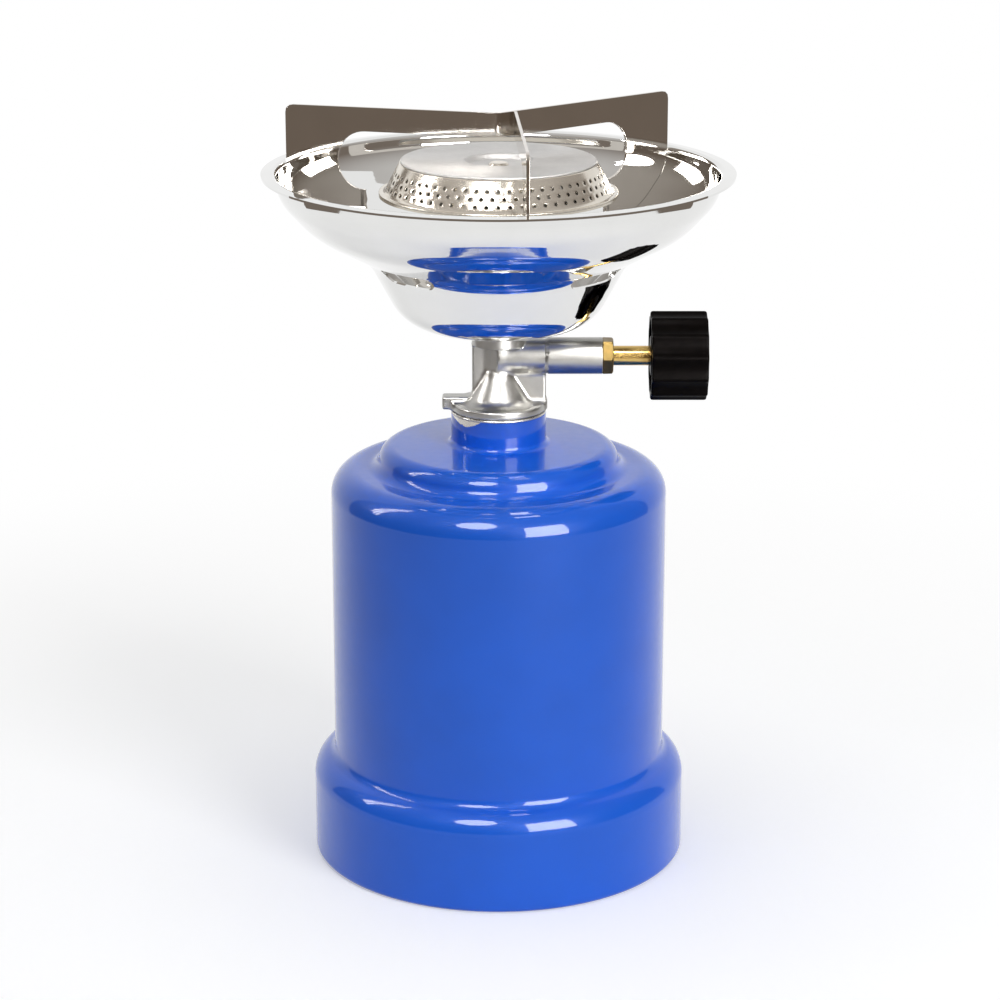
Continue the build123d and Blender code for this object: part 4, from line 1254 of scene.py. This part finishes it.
def flame_ring(s):
    """Pierced ring: a conical band of cells with one hole each, between a plain foot and a plain ledge.

    A cell is a square loop of points and a circle of as many points, joined by a ring of faces. Alternate
    rows are turned by half a cell, which is a whole number of points, so that the rows meet point to point.
    """
    burner_r = s.flange_r - s.flange_w
    top_z, ledge_r = s.ring_z + s.ring_h, s.ring_top_r - s.ledge_w
    lean = math.atan2(burner_r - s.ring_top_r, s.ring_h)
    slant = s.ring_h / math.cos(lean)
    out = np.array([math.cos(lean), math.sin(lean)]) * s.ring_wall
    foot, head = np.array([burner_r, s.ring_z]), np.array([s.ring_top_r, top_z])
    pitch = math.tau / s.holes

    def on_band(share, face):
        return foot + (head - foot) * np.asarray(share)[..., None] + out * face

    side, ones = np.linspace(-1, 1, HOLE_SIDE + 1), np.ones(HOLE_SIDE)
    loop_across = np.concatenate([side[:-1], ones, side[:0:-1], -ones])
    loop_along = np.concatenate([-ones, side[:-1], ones, side[:0:-1]])
    around = np.arctan2(loop_along, loop_across)
    shells = []
    for row in range(s.rows):
        low, high = ROW_SHARES[row:row + 2]
        middle, half = (low + high) / 2, (high - low) / 2
        radius_here = burner_r + (s.ring_top_r - burner_r) * middle
        centres = (np.arange(s.holes) + 0.5 * (row % 2))[:, None] * pitch
        rise, swing = s.hole_r * np.sin(around) / slant, s.hole_r * np.cos(around) / radius_here
        cell = (middle + half * loop_along, loop_across * pitch / 2)
        rim = (middle + rise * RIM_SHARE, swing * RIM_SHARE)
        hole = (middle + rise, swing)
        layers = [(*cell, 1.0), (*rim, 1.0), (*hole, RIM_DEPTH), (*hole, 0.0), (*cell, 0.0)]
        lines = [on_band(share, face) for share, _, face in layers]
        grid = np.stack([
            about_axis(line[:, 0], centres + turn, line[:, 1]) for line, (_, turn, _) in zip(lines, layers)
        ], 1)
        points, faces = surface(grid[0])
        starts = (np.arange(s.holes) * len(points))[:, None, None]
        shells.append((grid.reshape(-1, 3), (faces + starts).reshape(-1, 4)))

    flange_top, ledge_top = s.ring_z + s.ring_wall, top_z + s.ring_wall
    low_run = rounded([
        (*on_band(ROW_SHARES[0], 1.0), 0), (burner_r + s.ring_wall / math.cos(lean), flange_top, FOOT_ROUND),
        (s.flange_r, flange_top, SHEET_ROUND), (s.flange_r, s.ring_z, SHEET_ROUND),
        (burner_r, s.ring_z, SHEET_ROUND), (*on_band(ROW_SHARES[0], 0.0), 0),
    ], 4)
    high_run = rounded([
        (*on_band(ROW_SHARES[-1], 1.0), 0), (s.ring_top_r + s.ring_wall / 2, ledge_top, TOP_ROUND),
        (ledge_r, ledge_top, LEDGE_ROUND), (ledge_r, top_z, LEDGE_ROUND), (s.ring_top_r, top_z, SHEET_ROUND),
        (*on_band(ROW_SHARES[-1], 0.0), 0),
    ], 4)
    turns = full_turn(s.holes * HOLE_SIDE) + pitch / 2
    shells += [surface(about_axis(run[:, :1], turns, run[:, 1:])) for run in (low_run, high_run)]
    return joined(*shells)


# Rounds of the funnel's bends, of the cap's recess above and below, and of the rivet's head
FUNNEL_ROUND = 0.8 * MM
RECESS_ROOT = 0.5 * MM
RECESS_ROUND = 0.7 * MM
RECESS_UNDER = 0.3 * MM
RIVET_FOOT = 0.15 * MM
RIVET_ROUND = 0.5 * MM
# Radius at the top of the rivet's head, as a share of its widest
RIVET_DRAFT = 0.8


class STOVE_OT_burner(bpy.types.Operator):
    """Burner funnel, pierced flame ring, cap with its recess, and rivet"""

    bl_idname = "stove.burner"
    bl_label = "Burner"

    def execute(self, context):
        settings = context.scene.stove
        s = settings.burner
        nickel = burner_plating(settings.colours)
        matt_nickel = finish_of(satin_nickel, "matt_nickel", settings.colours.cap, 0.6)
        add_piece("flame_ring", flame_ring(s), nickel, "head_body", "burner_ring", 50.0)

        burner_r, throat_r = s.flange_r - s.flange_w, s.throat_r + s.wall
        funnel_top = s.ring_z - s.wall
        funnel = rounded([
            (throat_r, s.funnel_z, 0), (throat_r, s.tube_top, FUNNEL_ROUND),
            (burner_r - s.flange_w, funnel_top, FUNNEL_ROUND), (s.flange_r, funnel_top, 0),
        ], 6)
        funnel = turned(sheet_loop(funnel, s.wall), 128)
        add_piece("burner_funnel", funnel, nickel, "head_body", "burner_base")

        recess_z, lean_r, under = s.cap_top - s.recess_depth, s.recess_r + s.recess_lean, s.cap_top - s.wall
        cap = rounded([
            (s.rivet_r, recess_z, 0), (s.recess_r, recess_z, RECESS_ROOT), (lean_r, s.cap_top, RECESS_ROUND),
            (s.ring_top_r, s.cap_top, s.edge), (s.ring_top_r, under, s.edge),
            (lean_r + s.wall, under, RECESS_UNDER), (s.recess_r + s.wall, recess_z - s.wall, RECESS_UNDER),
            (s.rivet_r, recess_z - s.wall, 0),
        ], 5, closed=True)
        cap = turned(cap, 160)
        add_piece("burner_cap_disc", cap, matt_nickel, "head_body", "burner_cap")

        rivet = rounded([
            (0, s.rivet_low, 0), (s.rivet_r, s.rivet_low, 0), (s.rivet_r, recess_z, 0),
            (s.rivet_head_r, recess_z, RIVET_FOOT), (s.rivet_head_r * RIVET_DRAFT, s.rivet_top, RIVET_ROUND),
            (0, s.rivet_top, 0),
        ], 5)
        rivet = turned(rivet, 48, closed=False)
        add_piece("rivet_head", rivet, nickel, "head_body", "cap_rivet")
        return {"FINISHED"}


# Points along a blade's strip, round its leg and along its foot
BLADE_STEPS = (24, 60, 8)


def blade_grid(s, bowl, start_r, across=6):
    """Side view of one blade, as a grid between its inner edge and its outer edge.

    The inner edge runs along the strip, round the cut-out and along the foot; the outer edge runs along
    the pan line, down the end and along the bowl. Matching stretches have as many points, and each row
    of the grid lies at the same share of the way between the two. The foot's run starts at the radius
    where the cut-out's round began, so a larger foot_r makes it double back under the leg.
    """
    strip_z = s.top_z - s.strip_h
    slot_z = strip_z - s.slot_h
    turn_r = s.slot_end_r - s.slot_round
    floor = parallel(bowl_outline(bowl, 24)[0], bowl.wall + s.weld_gap)
    rim_r = bowl.outer_r - bowl.lip_w - bowl.wall - s.weld_gap
    on_floor = floor[(floor[:, 0] < rim_r) & (floor[:, 0] > s.foot_r)][::-1]

    def floor_at(radius):
        return radius, np.interp(radius, floor[:, 0], floor[:, 1])

    leg = rounded([
        (turn_r, strip_z, 0), (s.slot_end_r, strip_z, s.slot_round), (s.slot_end_r, slot_z, s.slot_round),
        (turn_r, slot_z, 0),
    ], 10)
    leg_floor = np.array([floor_at(rim_r), *on_floor[on_floor[:, 0] > turn_r], floor_at(turn_r)])
    foot_floor = np.array([floor_at(turn_r), *on_floor[on_floor[:, 0] < turn_r], floor_at(s.foot_r)])
    rim_z = min(leg_floor[0, 1], bowl.top_z)
    corner = rounded([(turn_r, s.top_z, 0), (rim_r, s.top_z, s.corner_r), (rim_r, rim_z, 0)], 8)
    inner = [
        np.array([(start_r, strip_z), (turn_r, strip_z)]), leg,
        np.array([(turn_r, slot_z), (s.foot_r, slot_z)]),
    ]
    outer = [
        np.array([(start_r, s.top_z), (turn_r, s.top_z)]), np.concatenate([corner, leg_floor[1:]]),
        foot_floor,
    ]
    strip, round_leg, foot = BLADE_STEPS
    inner_line, outer_line = (
        np.concatenate([evenly(a, strip)[:-1], evenly(b, round_leg)[:-1], evenly(c, foot)])
        for a, b, c in (inner, outer)
    )
    shares = np.linspace(0, 1, across + 1)[:, None, None]
    return inner_line + (outer_line - inner_line) * shares


def fold_reach(s):
    """Half the angle by which the fold turns the sheet, and the tangent length of its arc."""
    half = (math.pi - s.spread) / 2
    return half, s.bend_r * math.tan(half)


def unit(azimuth):
    """Level direction at an angle from +X."""
    return np.array([math.cos(azimuth), math.sin(azimuth)])


def left_of(toward):
    """Level direction a quarter turn to the left of another."""
    return np.array([-toward[1], toward[0]])


def folded(grid, s, azimuth, fold):
    """Stands a side view on a direction. Within the fold the line follows an arc of the bend's radius,
    which meets the straight line r times the direction at the arc's tangent length. A blade without a
    fold stands beside the axis by its offset o, so its leg reaches sqrt(r^2 - o^2) along the direction."""
    radius, height = grid[..., :1], grid[..., 1:]
    half, tangent = fold_reach(s)
    toward = unit(azimuth)
    if fold:
        middle = azimuth + fold * s.spread / 2
        outward = unit(middle)
        sideways = left_of(outward) * -fold
        swing = radius / tangent * half
        arc = outward * s.bend_r / math.cos(half)
        arc = arc - s.bend_r * (np.cos(swing) * outward - np.sin(swing) * sideways)
        flat = np.where(radius < tangent, arc, radius * toward)
    else:
        turn_r, offset = s.slot_end_r - s.slot_round, s.front_offset
        leg = np.sqrt(np.maximum(radius**2 - offset**2, 0))
        reach = np.where(radius > turn_r, leg, radius * math.sqrt(1 - (offset / turn_r)**2))
        flat = reach * toward + offset * left_of(toward)
    return np.concatenate([flat, height], -1)


class STOVE_OT_pan_support(bpy.types.Operator):
    """Folded double blade and single front blade that carry the pan"""

    bl_idname = "stove.pan_support"
    bl_label = "Pan support"

    def execute(self, context):
        settings = context.scene.stove
        s = settings.support
        steel = finish_of(blade_steel, "rolled_sheet", settings.colours)
        side = blade_grid(s, settings.bowl, 0.0)
        fold_rows = np.linspace(0, fold_reach(s)[1], 9)[1:]
        strip = np.stack(np.broadcast_arrays(fold_rows, side[:, :1, 1]), -1)
        side = np.concatenate([side[:, :1], strip, side[:, 2:]], axis=1)
        first, second, single = (surface(grid, wrap_columns=False) for grid in (
            folded(side, s, s.azimuth, 1), folded(side, s, s.azimuth + s.spread, -1),
            folded(blade_grid(s, settings.bowl, s.front_start), s, s.front_azimuth, 0),
        ))
        for name, shell, node in (
            ("folded_blades", joined(first, second), "pan_support_bent"),
            ("front_blade", single, "pan_support_front"),
        ):
            piece = add_piece(name, shell, steel, "head_body", node)
            thick = piece.modifiers.new("sheet", "SOLIDIFY")
            thick.thickness = s.blade_t
            thick.offset = 0.0
            bevel(piece, s.edge, flat=True)
        return {"FINISHED"}


class STOVE_OT_inner_pieces(bpy.types.Operator):
    """Finishes of the pieces inside the stove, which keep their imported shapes"""

    bl_idname = "stove.inner_pieces"
    bl_label = "Inner pieces"

    edge: length("Round along the machined edges", 0.15)

    def execute(self, context):
        colours = context.scene.stove.colours
        steel, nickel = plain_steel(colours), burner_plating(colours)
        tin = finish_of(bare_sheet, "tinplate", colours.tin, 0.3, 6 * MM)
        brass = finish_of(turned_brass, "turned_brass", colours)
        rubber = finish_of(plain_rubber, "seal_rubber", colours)
        dressed_copy("mixing_tube", brass, self.edge)
        dressed_copy("gas_jet", brass, self.edge)
        dressed_copy("bowl_washer", steel, self.edge)
        for material, nodes in (
            (steel, ("piercing_needle", "gauze_filter")), (tin, ("cartridge_can", "cartridge_end")),
            (rubber, ("cartridge_gasket", "seat_disc", "spindle_oring", "gland_washer")),
            (nickel, ("gas_baffle",)),
        ):
            for node in nodes:
                slots = frame["nodes"][node].data.materials
                slots.clear()
                slots.append(material)
        return {"FINISHED"}


def direction(azimuth, elevation):
    """Unit directions; azimuth turns from the camera's side towards +X, elevation up from the floor."""
    level_part = np.cos(elevation)
    return np.stack(np.broadcast_arrays(
        np.sin(azimuth) * level_part, -np.cos(azimuth) * level_part, np.sin(elevation)
    ), -1)


# Azimuth, elevation, width and height in degrees, number of corners, and strength
MIRRORED_LAMPS = (
    (-16.0, 39.0, 30.0, 26.0, 28, 19.0),
    (31.0, 13.0, 28.0, 35.0, 4, 19.0),
    (-94.2, 36.5, 1.5, 38.0, 4, 26.0),
    (-91.0, 34.0, 1.5, 38.0, 4, 26.0),
    (-87.8, 31.5, 1.5, 38.0, 4, 26.0),
)
# Side and place of the soft lamps, in metres
KEY_LAMP = (0.7, (0.95, -1.25, 0.78))
TOP_LAMP = (0.9, (-0.1, 0.1, 1.5))
FILL_LAMP = (0.8, (-1.2, -0.9, 0.7))
# Shares of the room's radius between which it brightens, and elevation of its lowest row on the dome
ROOM_RISE = (0.4, 0.95)
ROOM_FOOT = math.radians(10)


class STOVE_OT_stage(bpy.types.Operator):
    """Pale floor, white surroundings, soft lamps, the cards that metal mirrors, and the camera"""

    bl_idname = "stove.stage"
    bl_label = "Studio"

    def execute(self, context):
        s = context.scene.stove.studio
        self.floor(s)
        self.world(context.scene, s)
        self.room(s)
        self.mirrored_lamps(s)
        self.lamp("key_lamp", s.key, *KEY_LAMP)
        self.lamp("top_lamp", s.top, *TOP_LAMP)
        self.lamp("fill_lamp", s.fill, *FILL_LAMP)
        self.camera(context.scene, s)
        context.scene.view_settings.view_transform = "Standard"
        return {"FINISHED"}

    def stage_mesh(self, name, shell, material, mirrored_only):
        """A piece of the studio, which may be seen in reflections alone."""
        card = bpy.data.objects.new(name, mesh_of(name, shell))
        card.data.materials.append(material)
        bpy.context.scene.collection.objects.link(card)
        if mirrored_only:
            card.visible_camera = False
            card.visible_diffuse = False
            card.visible_transmission = False
            card.visible_shadow = False

    def blank(self, name):
        """A material without nodes, and its tree."""
        material = bpy.data.materials.new(name)
        material.use_nodes = True
        material.node_tree.nodes.clear()
        return material, material.node_tree

    def white_rays(self, tree):
        """Output that is 1 for rays that show the background, seen, mirrored or through something clear,
        and 0 for rays that light matt surfaces."""
        camera, glossy, through = (
            add_node(tree, "LightPath", output=f"Is {kind} Ray")
            for kind in ("Camera", "Glossy", "Transmission")
        )
        return computed(tree, "MAXIMUM", computed(tree, "MAXIMUM", camera, through), glossy)

    def floor(self, s):
        """White floor that keeps the stove's shadow and passes into plain white further out. A small part
        of the near floor's white is there without light. From below the floor is clear, so that the
        stove's underside can be looked at."""
        material, tree = self.blank("studio_floor")
        seen = self.white_rays(tree)
        matt = add_node(tree, "BsdfDiffuse", {"Color": (s.floor_white, s.floor_white, s.floor_white, 1.0)})
        lift = add_node(tree, "Emission", {"Strength": computed(tree, "MULTIPLY", seen, s.floor_lift)})
        near = add_node(tree, "AddShader", {0: matt, 1: lift})
        where = add_node(tree, "TexCoord", output="Object")
        distance = add_node(tree, "VectorMath", {0: where}, "Value", operation="LENGTH")
        fade = add_node(tree, "MapRange", {
            "Value": distance, "From Min": s.floor_near, "From Max": s.floor_far,
        }, interpolation_type="SMOOTHSTEP")
        white = add_node(tree, "Emission", {"Strength": seen})
        above = add_node(tree, "MixShader", {0: fade, 1: near, 2: white})
        underside = add_node(tree, "NewGeometry", output="Backfacing")
        clear = add_node(tree, "BsdfTransparent")
        one_sided = add_node(tree, "MixShader", {0: underside, 1: above, 2: clear})
        add_node(tree, "OutputMaterial", {0: one_sided})
        half, low = s.floor_half, -s.floor_drop
        points = [(-half, -half, low), (half, -half, low), (half, half, low), (-half, half, low)]
        self.stage_mesh("studio_floor", (points, [range(4)]), material, False)

    def world(self, scene, s):
        """White surroundings: full white where they are seen, softer where they light matt surfaces."""
        scene.world = bpy.data.worlds.new("studio_white")
        scene.world.use_nodes = True
        tree = scene.world.node_tree
        sockets = tree.nodes["Background"].inputs
        sockets["Color"].default_value = (1.0, 1.0, 1.0, 1.0)
        tree.links.new(computed(tree, "MAXIMUM", self.white_rays(tree), s.ambient), sockets["Strength"])

    def room(self, s):
        """Dark surroundings on the camera's side: part of a dome, darker low down, seen in metal only."""
        material, tree = self.blank("studio_room")
        where = add_node(tree, "TexCoord", output="Object")
        height = add_node(tree, "SeparateXYZ", {0: where}, "Z")
        low, high = (s.room_r * share for share in ROOM_RISE)
        share = add_node(tree, "MapRange", {"Value": height, "From Min": low, "From Max": high})
        tone = add_node(tree, "Mix", {
            "Factor": share, 6: (*s.room_dark, 1.0), 7: (*s.room_high, 1.0),
        }, 2, data_type="RGBA")
        add_node(tree, "OutputMaterial", {0: add_node(tree, "Emission", {"Color": tone})})
        sides = np.linspace(-s.room_half, s.room_half, 49)
        ups = np.linspace(ROOM_FOOT, math.pi / 2, 25)[:, None]
        edge = direction(sides, np.zeros((1, 1))) * s.table_r
        dome = np.concatenate([edge, direction(sides, ups) * s.room_r])
        self.stage_mesh("studio_room", surface(dome, wrap_columns=False), material, True)

    def mirrored_lamps(self, s):
        """Bright cards where the paint and the metal mirror the lamps, each turned to face the stove."""
        low, high = cad_box
        middle = np.array((low + high) / 2)
        for i, (azimuth, elevation, width, height, corners, strength) in enumerate(MIRRORED_LAMPS):
            turns = full_turn(corners) + math.pi / corners
            reach = 0.5 / math.cos(math.pi / corners)
            sides = np.radians(azimuth + width * reach * np.cos(turns))
            ups = np.radians(elevation + height * reach * np.sin(turns))
            material, tree = self.blank(f"lamp_glow_{i}")
            add_node(tree, "OutputMaterial", {0: add_node(tree, "Emission", {"Strength": strength})})
            card = (middle + direction(sides, ups) * s.lamp_distance, [range(corners)])
            self.stage_mesh(f"mirrored_lamp_{i}", card, material, True)

    def lamp(self, name, power, size, where):
        """Soft square lamp aimed at the stove; its own reflection is left to the cards."""
        light = bpy.data.lights.new(name, "AREA")
        light.energy = power
        light.size = size
        lamp = bpy.data.objects.new(name, light)
        bpy.context.scene.collection.objects.link(lamp)
        low, high = cad_box
        lamp.location = where
        lamp.rotation_euler = ((low + high) / 2 - lamp.location).to_track_quat("-Z", "Y").to_euler()
        lamp.visible_glossy = False
        lamp.visible_camera = False

    def camera(self, scene, s):
        """Camera at the photograph's place and angle."""
        data = bpy.data.cameras.new("camera")
        data.lens = s.lens
        data.sensor_width = 36.0
        data.clip_end = 100.0
        camera = bpy.data.objects.new("camera", data)
        scene.collection.objects.link(camera)
        camera.location = (s.camera_x, s.camera_y, s.camera_z)
        camera.rotation_euler = (math.pi / 2 - s.camera_pitch, 0.0, 0.0)
        scene.camera = camera


OPERATORS = (
    STOVE_OT_casing, STOVE_OT_base, STOVE_OT_valve_body, STOVE_OT_valve_gear, STOVE_OT_bowl,
    STOVE_OT_burner, STOVE_OT_pan_support, STOVE_OT_inner_pieces, STOVE_OT_stage,
)


class STOVE_PT_pieces(bpy.types.Panel):
    """Sidebar panel that lists the pieces"""

    bl_label = "Stove"
    bl_idname = "STOVE_PT_pieces"
    bl_space_type = "VIEW_3D"
    bl_region_type = "UI"
    bl_category = "Stove"

    def draw(self, context):
        for operator in OPERATORS:
            self.layout.operator(operator.bl_idname)


CLASSES = (
    CasingSizes, HeadSizes, ValveSizes, BowlSizes, BurnerSizes, SupportSizes, FinishColours, StudioSizes,
    StoveSettings, *OPERATORS, STOVE_PT_pieces,
)


def register():
    for item in CLASSES:
        bpy.utils.register_class(item)
    bpy.types.Scene.stove = bpy.props.PointerProperty(type=StoveSettings)


def unregister():
    del bpy.types.Scene.stove
    for item in reversed(CLASSES):
        bpy.utils.unregister_class(item)


def main():
    """Builds every piece in order."""
    register()
    bpy.ops.stove.casing()
    bpy.ops.stove.base()
    bpy.ops.stove.valve_body()
    bpy.ops.stove.valve_gear()
    bpy.ops.stove.bowl()
    bpy.ops.stove.burner()
    bpy.ops.stove.pan_support()
    bpy.ops.stove.inner_pieces()
    bpy.ops.stove.stage()


if __name__ == "__main__":
    main()
